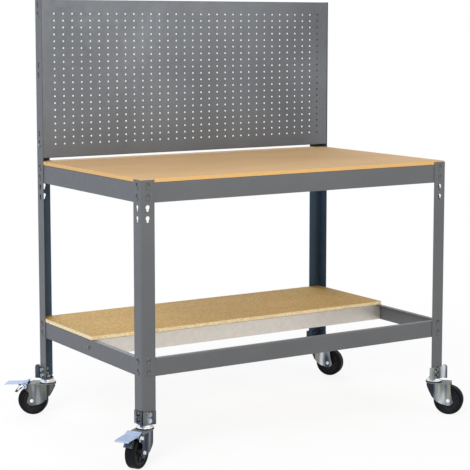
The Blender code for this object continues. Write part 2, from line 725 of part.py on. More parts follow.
def make_kingpin(corner, finish):
    """The pivot bolt from under the fork's crown up to its nut on the adaptor's plate."""
    head_top = CROWN_TOP - CROWN_THICKNESS - SEAT_GAP
    nut_low = ADAPTOR_BOTTOM + ADAPTOR_BASE_THICKNESS + SEAT_GAP
    profile = [
        (0, head_top - KINGPIN_HEAD_HEIGHT),
        (KINGPIN_HEAD_RADIUS, head_top - KINGPIN_HEAD_HEIGHT),
        (KINGPIN_HEAD_RADIUS, head_top),
        (KINGPIN_RADIUS, head_top),
        (KINGPIN_RADIUS, nut_low),
        (KINGPIN_NUT_RADIUS, nut_low),
        (KINGPIN_NUT_RADIUS, nut_low + KINGPIN_NUT_HEIGHT),
        (0, nut_low + KINGPIN_NUT_HEIGHT),
    ]
    mesh = bmesh.new()
    add_turned(mesh, profile, PIN_SIDES, Matrix.Identity(4))
    return make_piece(f"{corner}_kingpin", mesh, finish, (*kingpin_place(corner), 0), smooth=True)


def make_race_cap(corner, finish):
    """The dished upper race, held between the adaptor's plate and the fork's crown."""
    hole = KINGPIN_RADIUS + KINGPIN_PLAY
    low = CROWN_TOP + RACE_RUNNING_GAP
    high = ADAPTOR_BOTTOM - SEAT_GAP
    profile = [
        (hole, low),
        (RACE_RADIUS, low),
        (RACE_RADIUS, low + RACE_RIM_HEIGHT),
        (RACE_SHOULDER_RADIUS, high),
        (hole, high),
    ]
    mesh = bmesh.new()
    add_turned(mesh, profile, ROUND_SIDES, Matrix.Identity(4))
    return make_piece(f"{corner}_race_cap", mesh, finish, (*kingpin_place(corner), 0), smooth=True)


def fork_side_outline(braked):
    """The side view of the fork's legs: (along the trail, height) from the crown to the axle lugs."""
    top = CROWN_TOP - CROWN_THICKNESS / 2
    axle = (TRAIL, WHEEL_RADIUS)
    skirt = CROWN_TOP - CROWN_HALF_WIDTH * FORK_SKIRT_SHARE
    waist, knee, toe = (
        (TRAIL * along, WHEEL_RADIUS + FORK_LUG_RADIUS * up)
        for along, up in (FORK_WAIST_SHARES, FORK_KNEE_SHARES, FORK_TOE_SHARES)
    )
    outline = [(-CROWN_HALF_WIDTH, top), (-CROWN_HALF_WIDTH, skirt), waist, knee, toe]
    outline += arc(axle, FORK_LUG_RADIUS, *LUG_ARC, ARC_STEPS)
    if braked:
        ear_reach = FORK_LUG_RADIUS * FORK_EAR_SHARE
        ear = (PEDAL_PIVOT_X + ear_reach, PEDAL_PIVOT_Z - ear_reach)
        neck = (TRAIL + ear_reach, WHEEL_RADIUS * FORK_EAR_TOP_SHARE)
        outline += [neck, ear, (ear[0], PEDAL_PIVOT_Z + PEDAL_PIN_RADIUS * FORK_EAR_TOP_SHARE)]
        outline += [(CROWN_REAR, CROWN_TOP - CROWN_THICKNESS), (CROWN_REAR, top)]
    else:
        outline += [(CROWN_REAR, skirt), (CROWN_REAR, top)]
    return outline


def make_fork(corner, pivot, braked, finish):
    """The stamped fork: a rounded skirt under a lipped crown, with two shaped legs."""

    def stadium(half_width, front_radius, rear):
        outline = arc((0, 0), front_radius, 90, 270, ARC_STEPS)
        return outline + [(rear, -half_width), (rear, half_width)]

    reach = TRAIL + FORK_LUG_RADIUS + CROWN_REAR
    crown_under = CROWN_TOP - CROWN_THICKNESS
    mesh = bmesh.new()
    walls = stadium(FORK_HALF_WIDTH, FORK_HALF_WIDTH, reach)
    add_upright_prism(mesh, walls, 0, CROWN_TOP - CROWN_THICKNESS / 2)
    fork = make_piece(f"{corner}_fork", mesh, finish, parent=pivot)

    kept = bmesh.new()
    half = FORK_HALF_WIDTH + OVERRUN
    side_view = [(x, -half, z) for x, z in fork_side_outline(braked)]
    add_prism(kept, side_view, Vector((0, 2 * half, 0)))
    combine(fork, "side_view", kept, "INTERSECT")

    hollow = bmesh.new()
    inner = FORK_HALF_WIDTH - FORK_SHEET
    add_upright_prism(hollow, stadium(inner, inner, reach + OVERRUN), -OVERRUN, crown_under)
    combine(fork, "hollow", hollow, "DIFFERENCE")

    crown = bmesh.new()
    plate = stadium(CROWN_HALF_WIDTH, CROWN_HALF_WIDTH, CROWN_REAR)
    add_upright_prism(crown, plate, crown_under, CROWN_TOP)
    combine(fork, "crown", crown, "UNION")

    holes = bmesh.new()
    ring = bore((0, 0), KINGPIN_RADIUS + KINGPIN_PLAY, HOLE_SIDES)
    add_upright_prism(holes, ring, crown_under - OVERRUN, CROWN_TOP + OVERRUN)
    rounds = [((TRAIL, WHEEL_RADIUS), AXLE_RADIUS + BOLT_HOLE_PLAY)]
    if braked:
        rounds.append(((PEDAL_PIVOT_X, PEDAL_PIVOT_Z), PEDAL_PIN_RADIUS + PEDAL_PIN_PLAY))
    for centre, radius in rounds:
        ring = bore(centre, radius, HOLE_SIDES)
        add_prism(holes, [(x, -half, z) for x, z in ring], Vector((0, 2 * half, 0)))
    combine(fork, "holes", holes, "DIFFERENCE")
    return fork


def make_wheel(corner, pivot, tyre_finish, hub_finish, bolt_finish):
    """The wheel on its axle bolt: a rubber tyre on a moulded hub."""
    lie_down = Matrix.Rotation(math.radians(90), 4, "X")
    axle = make_pivot(f"{corner}_axle", (TRAIL, 0, WHEEL_RADIUS), parent=pivot)
    shoulder = WHEEL_RADIUS - TYRE_SHOULDER
    tread = TYRE_HALF_WIDTH - TYRE_SHOULDER
    tyre = [
        (TYRE_INNER_RADIUS, -TYRE_BEAD_HALF_WIDTH),
        (shoulder, -TYRE_HALF_WIDTH),
        (WHEEL_RADIUS, -tread),
        (WHEEL_RADIUS, tread),
        (shoulder, TYRE_HALF_WIDTH),
        (TYRE_INNER_RADIUS, TYRE_BEAD_HALF_WIDTH),
    ]
    mesh = bmesh.new()
    add_turned(mesh, tyre, ROUND_SIDES, lie_down)
    make_piece(f"{corner}_tyre", mesh, tyre_finish, parent=axle, smooth=True)

    rim = TYRE_INNER_RADIUS - SEAT_GAP
    dish = rim - HUB_RIM_WIDTH
    boss = FORK_HALF_WIDTH - FORK_SHEET - SEAT_GAP
    hole = AXLE_RADIUS + HUB_BORE_PLAY
    half = [(hole, boss), (HUB_BOSS_RADIUS, boss)]
    half += [(dish, HUB_WEB_HALF_WIDTH), (rim, TYRE_BEAD_HALF_WIDTH)]
    hub = [(radius, -across) for radius, across in half] + half[::-1]
    mesh = bmesh.new()
    add_turned(mesh, hub, ROUND_SIDES, lie_down)
    make_piece(f"{corner}_hub", mesh, hub_finish, parent=axle, smooth=True)

    seat = FORK_HALF_WIDTH + SEAT_GAP
    profile = [
        (0, -seat - AXLE_HEAD_HEIGHT),
        (AXLE_HEAD_RADIUS, -seat - AXLE_HEAD_HEIGHT),
        (AXLE_HEAD_RADIUS, -seat),
        (AXLE_RADIUS, -seat),
        (AXLE_RADIUS, seat),
        (AXLE_HEAD_RADIUS, seat),
        (AXLE_HEAD_RADIUS, seat + AXLE_HEAD_HEIGHT),
        (0, seat + AXLE_HEAD_HEIGHT),
    ]
    mesh = bmesh.new()
    add_turned(mesh, profile, BOLT_SIDES, lie_down)
    make_piece(f"{corner}_axle_bolt", mesh, bolt_finish, (TRAIL, 0, WHEEL_RADIUS), parent=pivot)


def sheet_section(path, thickness):
    """The outline of a bent sheet whose upper face follows a path of (along, height) points."""
    lower = [(x, z - thickness) for x, z in reversed(path)]
    return path + lower


def make_brake(corner, pivot, finish, shoe_finish):
    """The foot pedal with its cheeks and pivot pin, and the shoe that it presses on the tyre."""
    hinge = make_pivot(f"{corner}_pedal_hinge", (PEDAL_PIVOT_X, 0, PEDAL_PIVOT_Z), parent=pivot)

    def local(path):
        return [(x - PEDAL_PIVOT_X, z - PEDAL_PIVOT_Z) for x, z in path]

    path = [
        (PEDAL_ROOT_X, CROWN_TOP + PEDAL_ROOT_RISE),
        (PEDAL_KINK_X, CROWN_TOP - PEDAL_KINK_DROP),
        (PEDAL_TIP_X, CROWN_TOP - PEDAL_TIP_DROP),
        (PEDAL_NOSE_X, CROWN_TOP - PEDAL_NOSE_DROP),
    ]
    section = sheet_section(local(path), PEDAL_SHEET)
    mesh = bmesh.new()
    outline = [(x, -PEDAL_HALF_WIDTH, z) for x, z in section]
    add_prism(mesh, outline, Vector((0, 2 * PEDAL_HALF_WIDTH, 0)))
    pedal = make_piece(f"{corner}_brake_pedal", mesh, finish, parent=hinge)

    added = bmesh.new()
    cheek_outer = FORK_HALF_WIDTH - FORK_SHEET - PEDAL_CHEEK_PLAY
    eye = PEDAL_PIN_RADIUS * PEDAL_EYE_SHARE
    cheek = [(-eye, 0)]
    cheek += arc((0, 0), eye, *PEDAL_EYE_ARC, ARC_STEPS // 2)[1:]
    slope_end = local([(PEDAL_KINK_X, CROWN_TOP - PEDAL_KINK_DROP - PEDAL_SHEET / 2)])[0]
    root_end = local([(PEDAL_ROOT_X, CROWN_TOP + PEDAL_ROOT_RISE - PEDAL_SHEET / 2)])[0]
    cheek += [(slope_end[0], slope_end[1] - PEDAL_CHEEK_DEPTH), slope_end, root_end]
    for side in (-1, 1):
        outline = [(x, side * cheek_outer, z) for x, z in cheek]
        add_prism(added, outline, Vector((0, -side * PEDAL_CHEEK_SHEET, 0)))
    combine(pedal, "cheeks", added, "UNION")
    pin = bmesh.new()
    length = FORK_HALF_WIDTH + PEDAL_PIN_STANDOUT
    ring = arc((0, 0), PEDAL_PIN_RADIUS, 0, 360, HOLE_SIDES)[:-1]
    add_prism(pin, [(x, -length, z) for x, z in ring], Vector((0, 2 * length, 0)))
    combine(pedal, "pin", pin, "UNION")

    def underside(x):
        slope = (PEDAL_TIP_DROP - PEDAL_KINK_DROP) / (PEDAL_TIP_X - PEDAL_KINK_X)
        return CROWN_TOP - PEDAL_KINK_DROP - PEDAL_SHEET - SEAT_GAP - slope * (x - PEDAL_KINK_X)

    angle = math.radians(SHOE_ANGLE)
    reach = WHEEL_RADIUS + SHOE_REST_GAP
    middle = Vector((TRAIL + reach * math.cos(angle), WHEEL_RADIUS + reach * math.sin(angle)))
    tangent = Vector((-math.sin(angle), math.cos(angle))) * (SHOE_PAD_LENGTH / 2)
    away = Vector((math.cos(angle), math.sin(angle))) * SHOE_SHEET
    seat_end = SHOE_BEND_X + SHOE_SEAT_LENGTH
    pad_high, pad_low = middle + tangent, middle - tangent
    leaf = [
        (seat_end, underside(seat_end)),
        (SHOE_BEND_X - SHOE_SHEET / 2, underside(SHOE_BEND_X)),
        tuple(pad_high - Vector((SHOE_SHEET / 2, 0))),
        tuple(pad_low),
        tuple(pad_low + away),
        tuple(pad_high + away),
        (SHOE_BEND_X + SHOE_SHEET, underside(SHOE_BEND_X) - SHOE_SHEET),
        (seat_end, underside(seat_end) - SHOE_SHEET),
    ]
    mesh = bmesh.new()
    outline = [(x, -SHOE_HALF_WIDTH, z) for x, z in local(leaf)]
    add_prism(mesh, outline, Vector((0, 2 * SHOE_HALF_WIDTH, 0)))
    make_piece(f"{corner}_brake_shoe", mesh, shoe_finish, parent=hinge)


def settle_origin():
    """Moves the bench so that the origin is on the floor, under the middle of its overall box."""
    bpy.context.view_layer.update()
    graph = bpy.context.evaluated_depsgraph_get()
    points = []
    for thing in bpy.data.objects:
        if thing.type == "MESH" and not thing.hide_render:
            shape = thing.evaluated_get(graph)
            points += [thing.matrix_world @ vert.co for vert in shape.to_mesh().vertices]
            shape.to_mesh_clear()
    middle = Vector((0, 0, min(point.z for point in points)))
    for axis in range(2):
        spread = [point[axis] for point in points]
        middle[axis] = (min(spread) + max(spread)) / 2
    for thing in bpy.data.objects:
        if thing.parent is None:
            thing.location -= middle


def main():
    """Builds every piece of the bench."""
    clear_scene()
    painted = material("painted_steel", (0.145, 0.155, 0.168), 0.42, 0.1)
    board = material("particle_board", (0.56, 0.35, 0.17), 0.75, 0.0)
    galvanised = material("galvanised_steel", (0.62, 0.59, 0.55), 0.38, 0.8)
    zinc = material("zinc_plated_steel", (0.52, 0.55, 0.60), 0.3, 0.9)
    rubber = material("black_rubber", (0.012, 0.012, 0.014), 0.6, 0.0)
    moulded = material("moulded_hub", (0.02, 0.02, 0.022), 0.45, 0.0)

    for corner, (_, end) in CORNERS.items():
        make_post(corner, REAR_POST_TOP if end > 0 else FRONT_POST_TOP, painted)
    make_beams(painted)
    inset = HALF_DEPTH - INNER_FACE
    make_board("worktop", -inset, inset, WORKTOP_HEIGHT, True, board)
    make_board("shelf", SHELF_FRONT_Y, inset, SHELF_HEIGHT, False, board)
    place_y, place_z = make_shelf_rail(galvanised)
    side_beams = {name: bpy.data.objects[f"{name}_low_beam"] for name in ("left", "right")}
    make_rail_bolts(place_y, place_z, side_beams, zinc)
    make_pegboard(painted)
    make_panel_bolts(zinc)
    for corner in CORNERS:
        braked = corner in BRAKED_CORNERS
        make_adaptor(corner, zinc)
        make_kingpin(corner, zinc)
        make_race_cap(corner, zinc)
        swivel = make_pivot(f"{corner}_swivel", (*kingpin_place(corner), 0), heading=TRAIL_HEADINGS[corner])
        make_fork(corner, swivel, braked, zinc)
        make_wheel(corner, swivel, rubber, moulded, zinc)
        if braked:
            make_brake(corner, swivel, zinc, rubber)
    settle_origin()


main()
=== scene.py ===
"""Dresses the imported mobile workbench: camera, studio, finishes and every visible piece.

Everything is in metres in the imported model's frame: X points right, Y to the rear and Z up.
"""

import logging
import math
from dataclasses import dataclass, field
from enum import Enum

import bmesh
import bpy
from mathutils import Matrix, Vector
from mathutils.geometry import delaunay_2d_cdt


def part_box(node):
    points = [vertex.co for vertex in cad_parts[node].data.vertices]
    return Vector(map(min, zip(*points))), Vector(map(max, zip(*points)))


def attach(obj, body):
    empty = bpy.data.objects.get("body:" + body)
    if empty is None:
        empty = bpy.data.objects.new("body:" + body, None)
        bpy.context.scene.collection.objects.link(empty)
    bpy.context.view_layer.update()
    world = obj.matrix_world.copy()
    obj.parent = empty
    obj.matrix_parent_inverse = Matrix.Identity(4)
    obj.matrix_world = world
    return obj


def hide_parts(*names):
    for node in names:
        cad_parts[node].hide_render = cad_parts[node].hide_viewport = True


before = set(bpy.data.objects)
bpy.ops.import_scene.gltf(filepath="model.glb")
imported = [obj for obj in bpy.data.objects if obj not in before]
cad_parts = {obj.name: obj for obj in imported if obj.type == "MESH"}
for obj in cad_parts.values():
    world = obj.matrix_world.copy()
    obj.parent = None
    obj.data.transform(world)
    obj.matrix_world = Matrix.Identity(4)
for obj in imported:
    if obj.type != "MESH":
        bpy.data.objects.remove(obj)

LOG = logging.getLogger("workbench")
CREASE = 35.0
BEVELLED = 40.0
SEAT_GAP = 0.0003
POST_LINE = 0.024
FOOT_BOLTS = (0.1415, 0.161)
KINGPIN_BORE = 0.0054
KINGPIN_INSET = 0.0205

Point = tuple[float, float]
Colour = tuple[float, float, float]
Stops = tuple[tuple[float, Colour], ...]
Socket = bpy.types.NodeSocket
Material = bpy.types.Material
Object = bpy.types.Object


class Corner(Enum):
    """The four corners: label, outward signs, heading of the caster's trail, and whether it has a brake."""

    FRONT_LEFT = ("front_left", -1, -1, 213.0, True)
    FRONT_RIGHT = ("front_right", 1, -1, 314.0, False)
    REAR_LEFT = ("rear_left", -1, 1, 143.0, True)
    REAR_RIGHT = ("rear_right", 1, 1, 303.0, False)

    def __init__(self, label: str, side: int, end: int, heading: float, braked: bool) -> None:
        """Keep the corner's facts.

        Args:
            label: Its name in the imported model.
            side: -1 on the left and 1 on the right.
            end: -1 at the front and 1 at the rear.
            heading: Degrees from +X to the direction in which the wheel trails.
            braked: Whether the caster has a pedal.
        """
        self.label, self.side, self.end = label, side, end
        self.heading, self.braked = heading, braked


class Edge(Enum):
    """The four sides of the bench: label, direction along the side, and direction inward."""

    FRONT = ("front", (1, 0, 0), (0, 1, 0))
    REAR = ("rear", (1, 0, 0), (0, -1, 0))
    LEFT = ("left", (0, 1, 0), (1, 0, 0))
    RIGHT = ("right", (0, 1, 0), (-1, 0, 0))

    def __init__(self, label: str, along: tuple[int, ...], inward: tuple[int, ...]) -> None:
        """Keep the side's facts.

        Args:
            label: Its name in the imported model.
            along: The direction that its beams run in.
            inward: The direction to the middle of the bench.
        """
        self.label, self.along, self.inward = label, Vector(along), Vector(inward)

    @property
    def is_long(self) -> bool:
        """Whether the side runs along the bench's width."""
        return abs(self.along.x) > 0


class Level(Enum):
    """The two heights that beams stand at."""

    TOP = "top"
    LOW = "low"


class Slot(Enum):
    """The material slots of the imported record."""

    PAINTED = "painted_steel"
    BOARD = "chipboard"
    GALVANISED = "galvanised_steel"
    ZINC = "zinc_plate"
    RUBBER = "rubber"
    MOULDED = "moulded_hub"


def turn(axis: str, degrees: float) -> Matrix:
    """Return a rotation round one of the axes."""
    return Matrix.Rotation(math.radians(degrees), 4, axis)


def shift(x: float, y: float, z: float) -> Matrix:
    """Return a move by three lengths."""
    return Matrix.Translation((x, y, z))


def upright(x: float, y: float, z: float = 0.0, facing: int = -1, along: int = 1) -> Matrix:
    """Return what stands a flat sheet up: its upper face to -y or +y, its x kept or mirrored."""
    return Matrix(((along, 0, 0, x), (0, 0, facing, y), (0, 1, 0, z), (0, 0, 0, 1)))


def arc(centre: Point, radius: float, start: float, end: float, steps: int) -> list[Point]:
    """Return points along a circular arc, both ends included.

    Args:
        centre: The arc's centre.
        radius: Its radius.
        start: The first angle in degrees.
        end: The last angle in degrees.
        steps: How many chords it has.

    Returns:
        The points.
    """
    angles = [math.radians(start + (end - start) * step / steps) for step in range(steps + 1)]
    return [(centre[0] + radius * math.cos(a), centre[1] + radius * math.sin(a)) for a in angles]


def circle(centre: Point, radius: float, sides: int) -> list[Point]:
    """Return the outline of a round hole."""
    return arc(centre, radius, 0, 360, sides)[:-1]


def rounded(low: Point, high: Point, radius: float) -> list[Point]:
    """Return a rectangle with rounded corners.

    Args:
        low: The lower left corner.
        high: The upper right corner.
        radius: The corners' radius.

    Returns:
        The outline's points.
    """
    left, right, base, top = low[0] + radius, high[0] - radius, low[1] + radius, high[1] - radius
    centres = ((right, top, 0), (left, top, 90), (left, base, 180), (right, base, 270))
    return [point for x, y, start in centres for point in arc((x, y), radius, start, start + 90, 4)]


def holds(outline: list[Point], spot: Point) -> bool:
    """Tell whether an outline goes round a spot.

    Args:
        outline: The outline's points.
        spot: The point that is asked about.

    Returns:
        True where the spot is inside.
    """
    inside = False
    for (x0, y0), (x1, y1) in zip(outline, outline[1:] + outline[:1]):
        if (y0 > spot[1]) != (y1 > spot[1]):
            if spot[0] < x0 + (spot[1] - y0) * (x1 - x0) / (y1 - y0):
                inside = not inside
    return inside


class Form:
    """A mesh in the making: cut sheets that are folded, turned, lofted and swept bodies."""

    def __init__(self) -> None:
        """Start with an empty mesh."""
        self.mesh = bmesh.new()
        self.thickness = 0.0

    def skin(self, rings: list[list[Vector]], looped: bool = False) -> "Form":
        """Join rings of points by faces and close the first and last ring.

        Args:
            rings: Rings with the same number of points, or one point for a pole.
            looped: Whether the last ring joins the first one, with no end faces.

        Returns:
            This form.
        """
        made = [[self.mesh.verts.new(point) for point in ring] for ring in rings]
        for low, high in zip(made, made[1:] + made[:1] if looped else made[1:]):
            count = max(len(low), len(high))
            for i in range(count):
                j = (i + 1) % count
                corners = [low[i % len(low)], low[j % len(low)], high[j % len(high)], high[i % len(high)]]
                self.mesh.faces.new(list(dict.fromkeys(corners)))
        if not looped:
            for ring in made[:1] + made[1:][-1:]:
                if len(ring) > 2:
                    self.mesh.faces.new(ring)
        return self

    def turned(self, profile: list[Point], sides: int, looped: bool = False) -> "Form":
        """Spin a profile round the local z axis.

        Args:
            profile: Points as (radius, height). A radius of zero makes a pole.
            sides: How many sides the body has.
            looped: Whether the profile is a closed ring.

        Returns:
            This form.
        """
        rings = [
            [Vector((*point, height)) for point in (circle((0, 0), radius, sides) if radius > 0 else [(0, 0)])]
            for radius, height in profile
        ]
        return self.skin(rings, looped)

    def sheet(self, outline: list[Point], thickness: float, holes: list[list[Point]] | None = None) -> "Form":
        """Cut a flat sheet, its upper face at height zero, with finish 1 on its underside.

        Args:
            outline: The sheet's outline.
            thickness: Its thickness.
            holes: The outlines of its holes.

        Returns:
            This form.
        """
        self.thickness = thickness
        rings = [outline, *(holes or [])]
        points: list[Vector] = []
        owner: list[int] = []
        borders: list[tuple[int, int]] = []
        for number, ring in enumerate(rings):
            first, count = len(points), len(ring)
            points += [Vector(point) for point in ring]
            owner += [number] * count
            borders += [(first + i, first + (i + 1) % count) for i in range(count)]
        _, _, faces, source, _, _ = delaunay_2d_cdt(points, borders, [], 0, 1e-8)
        upper = [self.mesh.verts.new((p.x, p.y, 0)) for p in points]
        lower = [self.mesh.verts.new((p.x, p.y, -thickness)) for p in points]
        for face in faces:
            ids = [source[i][0] for i in face]
            met = {owner[i] for i in ids}
            if len(met) == 1:
                number = met.pop()
                middle = sum((points[i] for i in ids), Vector((0, 0))) / len(ids)
                if holds(rings[number], tuple(middle)) == (number > 0):
                    continue
            self.mesh.faces.new([upper[i] for i in ids])
            self.mesh.faces.new([lower[i] for i in reversed(ids)]).material_index = 1
        for i, j in borders:
            self.mesh.faces.new((upper[i], upper[j], lower[j], lower[i]))
        return self

    def fold(
        self, axis: int, at: float, side: int, radius: float, degrees: float, steps: int, upward: bool = False
    ) -> "Form":
        """Bend what lies beyond a line of the sheet.

        Args:
            axis: 0 for a line across x and 1 for a line across y.
            at: Where the bend starts.
            side: 1 to bend what lies past the line and -1 for what lies before it.
            radius: The bend's radius on the outer face.
            degrees: How far the sheet turns.
            steps: How many flats the bend has.
            upward: Whether the flap turns up instead of down.

        Returns:
            This form.
        """
        angle = math.radians(degrees)
        length = (radius - self.thickness / 2) * angle
        normal = Vector((0, 0, 0))
        normal[axis] = 1
        for step in range(steps + 1):
            place = normal * (at + side * length * step / steps)
            parts = self.mesh.verts[:] + self.mesh.edges[:] + self.mesh.faces[:]
            bmesh.ops.bisect_plane(self.mesh, geom=parts, dist=1e-7, plane_co=place, plane_no=normal)
        for vert in self.mesh.verts:
            past = side * (vert.co[axis] - at)
            if past <= 1e-7:
                continue
            reach = radius + (-self.thickness - vert.co.z if upward else vert.co.z)
            bent = angle * min(past / length, 1)
            straight = max(past - length, 0)
            drop = -radius + reach * math.cos(bent) - straight * math.sin(bent)
            vert.co[axis] = at + side * (reach * math.sin(bent) + straight * math.cos(bent))
            vert.co.z = -self.thickness - drop if upward else drop
        return self

    def folded_back(self, half: float, top: float, bottom: float, bend: float) -> "Form":
        """Fold all four sides of the sheet back at right angles.

        Args:
            half: Where the side bends start, left and right of the middle.
            top: Where the upper bend starts.
            bottom: Where the lower bend starts.
            bend: The bends' radius on the outer face.

        Returns:
            This form.
        """
        for axis, at, side in ((0, half, 1), (0, -half, -1), (1, top, 1), (1, bottom, -1)):
            self.fold(axis, at, side, bend, 90, 6)
        return self

    def swept(self, path: list[Vector], radius: float) -> "Form":
        """Draw an eight-sided wire along a path.

        Args:
            path: The wire's middle line.
            radius: The wire's radius.

        Returns:
            This form.
        """
        rings = []
        across = Vector((0, 0, 1))
        for i, point in enumerate(path):
            ahead = (path[min(i + 1, len(path) - 1)] - path[max(i - 1, 0)]).normalized()
            across = (across - ahead * across.dot(ahead)).normalized()
            if across.length < 0.5:
                across = ahead.orthogonal().normalized()
            other = ahead.cross(across)
            turns = (math.tau * side / 8 for side in range(8))
            rings.append([point + (across * math.cos(a) + other * math.sin(a)) * radius for a in turns])
        return self.skin(rings)

    def strap(self, path: tuple[Point, ...], thickness: float, half: float) -> "Form":
        """Bend a flat strap along a path in the local xz plane.

        Args:
            path: Points of the strap's middle line as (x, z).
            thickness: The strap's thickness.
            half: Half the strap's width across y.

        Returns:
            This form.
        """
        rings = []
        spots = [Vector(point) for point in path]
        for i, spot in enumerate(spots):
            before = (spot - spots[i - 1]).normalized() if i else (spots[1] - spot).normalized()
            after = (spots[i + 1] - spot).normalized() if i + 1 < len(spots) else before
            ahead = (before + after).normalized()
            off = Vector((-ahead.y, ahead.x)) * (thickness / 2 / max(ahead.dot(before), 0.4))
            corners = ((spot + off, -half), (spot + off, half), (spot - off, half), (spot - off, -half))
            rings.append([Vector((point.x, y, point.y)) for point, y in corners])
        return self.skin(rings)

    def plain(self, finish: int = 0) -> "Form":
        """Give every face the same finish number.

        Args:
            finish: The finish's place in the piece's list.

        Returns:
            This form.
        """
        for face in self.mesh.faces:
            face.material_index = finish
        return self

    def placed(self, matrix: Matrix) -> "Form":
        """Move the whole form by a matrix."""
        bmesh.ops.transform(self.mesh, matrix=matrix, verts=self.mesh.verts)
        return self

    def add(self, other: "Form", matrix: Matrix | None = None) -> "Form":
        """Take in another form, which is used up.

        Args:
            other: The form that is taken in.
            matrix: Where it goes.

        Returns:
            This form.
        """
        if matrix:
            other.placed(matrix)
        data = bpy.data.meshes.new("part")
        other.mesh.to_mesh(data)
        other.mesh.free()
        self.mesh.from_mesh(data)
        bpy.data.meshes.remove(data)
        return self

    def object(self, name: str, finishes: list[Material]) -> Object:
        """Make the scene object of this form.

        Args:
            name: The object's name.
            finishes: Its materials, in the order of their finish numbers.

        Returns:
            The new object.
        """
        bmesh.ops.recalc_face_normals(self.mesh, faces=self.mesh.faces)
        data = bpy.data.meshes.new(name)
        self.mesh.to_mesh(data)
        self.mesh.free()
        for finish in finishes:
            data.materials.append(finish)
        data.shade_smooth()
        data.set_sharp_from_angle(angle=math.radians(CREASE))
        made = bpy.data.objects.new(name, data)
        bpy.context.scene.collection.objects.link(made)
        return made


@dataclass(frozen=True)
class Piece:
    """How a finished form joins the bench: its body, slot, the nodes it stands for, and its edges."""

    name: str
    body: str
    slot: Slot
    nodes: tuple[str, ...] = ()
    bevel: float = 0.0
    bevel_steps: int = 2

    def settle(self, form: Form, *finishes: Material) -> None:
        """Turn a form into a piece that rides on its body.

        Args:
            form: The piece's mesh.
            finishes: The piece's materials.
        """
        made = form.object(self.name, list(finishes))
        if self.bevel:
            edges = made.modifiers.new("edges", "BEVEL")
            edges.width, edges.segments = self.bevel, self.bevel_steps
            edges.limit_method, edges.angle_limit = "ANGLE", math.radians(BEVELLED)
        even = made.modifiers.new("even", "WEIGHTED_NORMAL")
        even.keep_sharp, even.weight = True, 100
        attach(made, self.body)
        if self.nodes:
            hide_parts(*self.nodes)
        LOG.info("%s rides on %s with %d faces", self.name, self.body, len(made.data.polygons))


class Wiring:
    """A node tree and the sockets that its nodes give."""

    def __init__(self, tree: bpy.types.NodeTree) -> None:
        """Keep the tree."""
        self.tree = tree

    def feed(self, node: bpy.types.Node, feeds: dict[str | int, object]) -> None:
        """Link sockets to a node's inputs, or give the inputs a value.

        Args:
            node: The node.
            feeds: A socket or a value for each input that isn't left alone.
        """
        for key, value in feeds.items():
            if isinstance(value, Socket):
                self.tree.links.new(value, node.inputs[key])
            else:
                node.inputs[key].default_value = value

    def node(self, kind: str, feeds: dict[str | int, object] | None = None, **settings: object) -> bpy.types.Node:
        """Add a node.

        Args:
            kind: Its type, without the start that all types share.
            feeds: A socket or a value for each input that isn't left alone.
            settings: Attributes to set on it.

        Returns:
            The node.
        """
        made = self.tree.nodes.new(f"ShaderNode{kind}")
        for key, value in settings.items():
            setattr(made, key, value)
        self.feed(made, feeds or {})
        return made

    def combine(self, operation: str, *values: Socket) -> Socket:
        """Return what an operation makes of some values."""
        return self.node("Math", dict(enumerate(values)), operation=operation).outputs[0]

    def span(self, value: Socket, low: float, high: float, start: float = 0.3, end: float = 0.7) -> Socket:
        """Return a value whose range from start to end is spread from low to high."""
        spread = {"Value": value, "From Min": start, "From Max": end, "To Min": low, "To Max": high}
        return self.node("MapRange", spread).outputs["Result"]

    def seen(self) -> Socket:
        """Return 1 for rays that the eye, gloss or glass sends, else 0.

        Returns:
            The value's socket.
        """
        path = self.node("LightPath").outputs
        share = path["Is Camera Ray"]
        for key in ("Is Glossy Ray", "Is Transmission Ray"):
            share = self.combine("MAXIMUM", share, path[key])
        return share


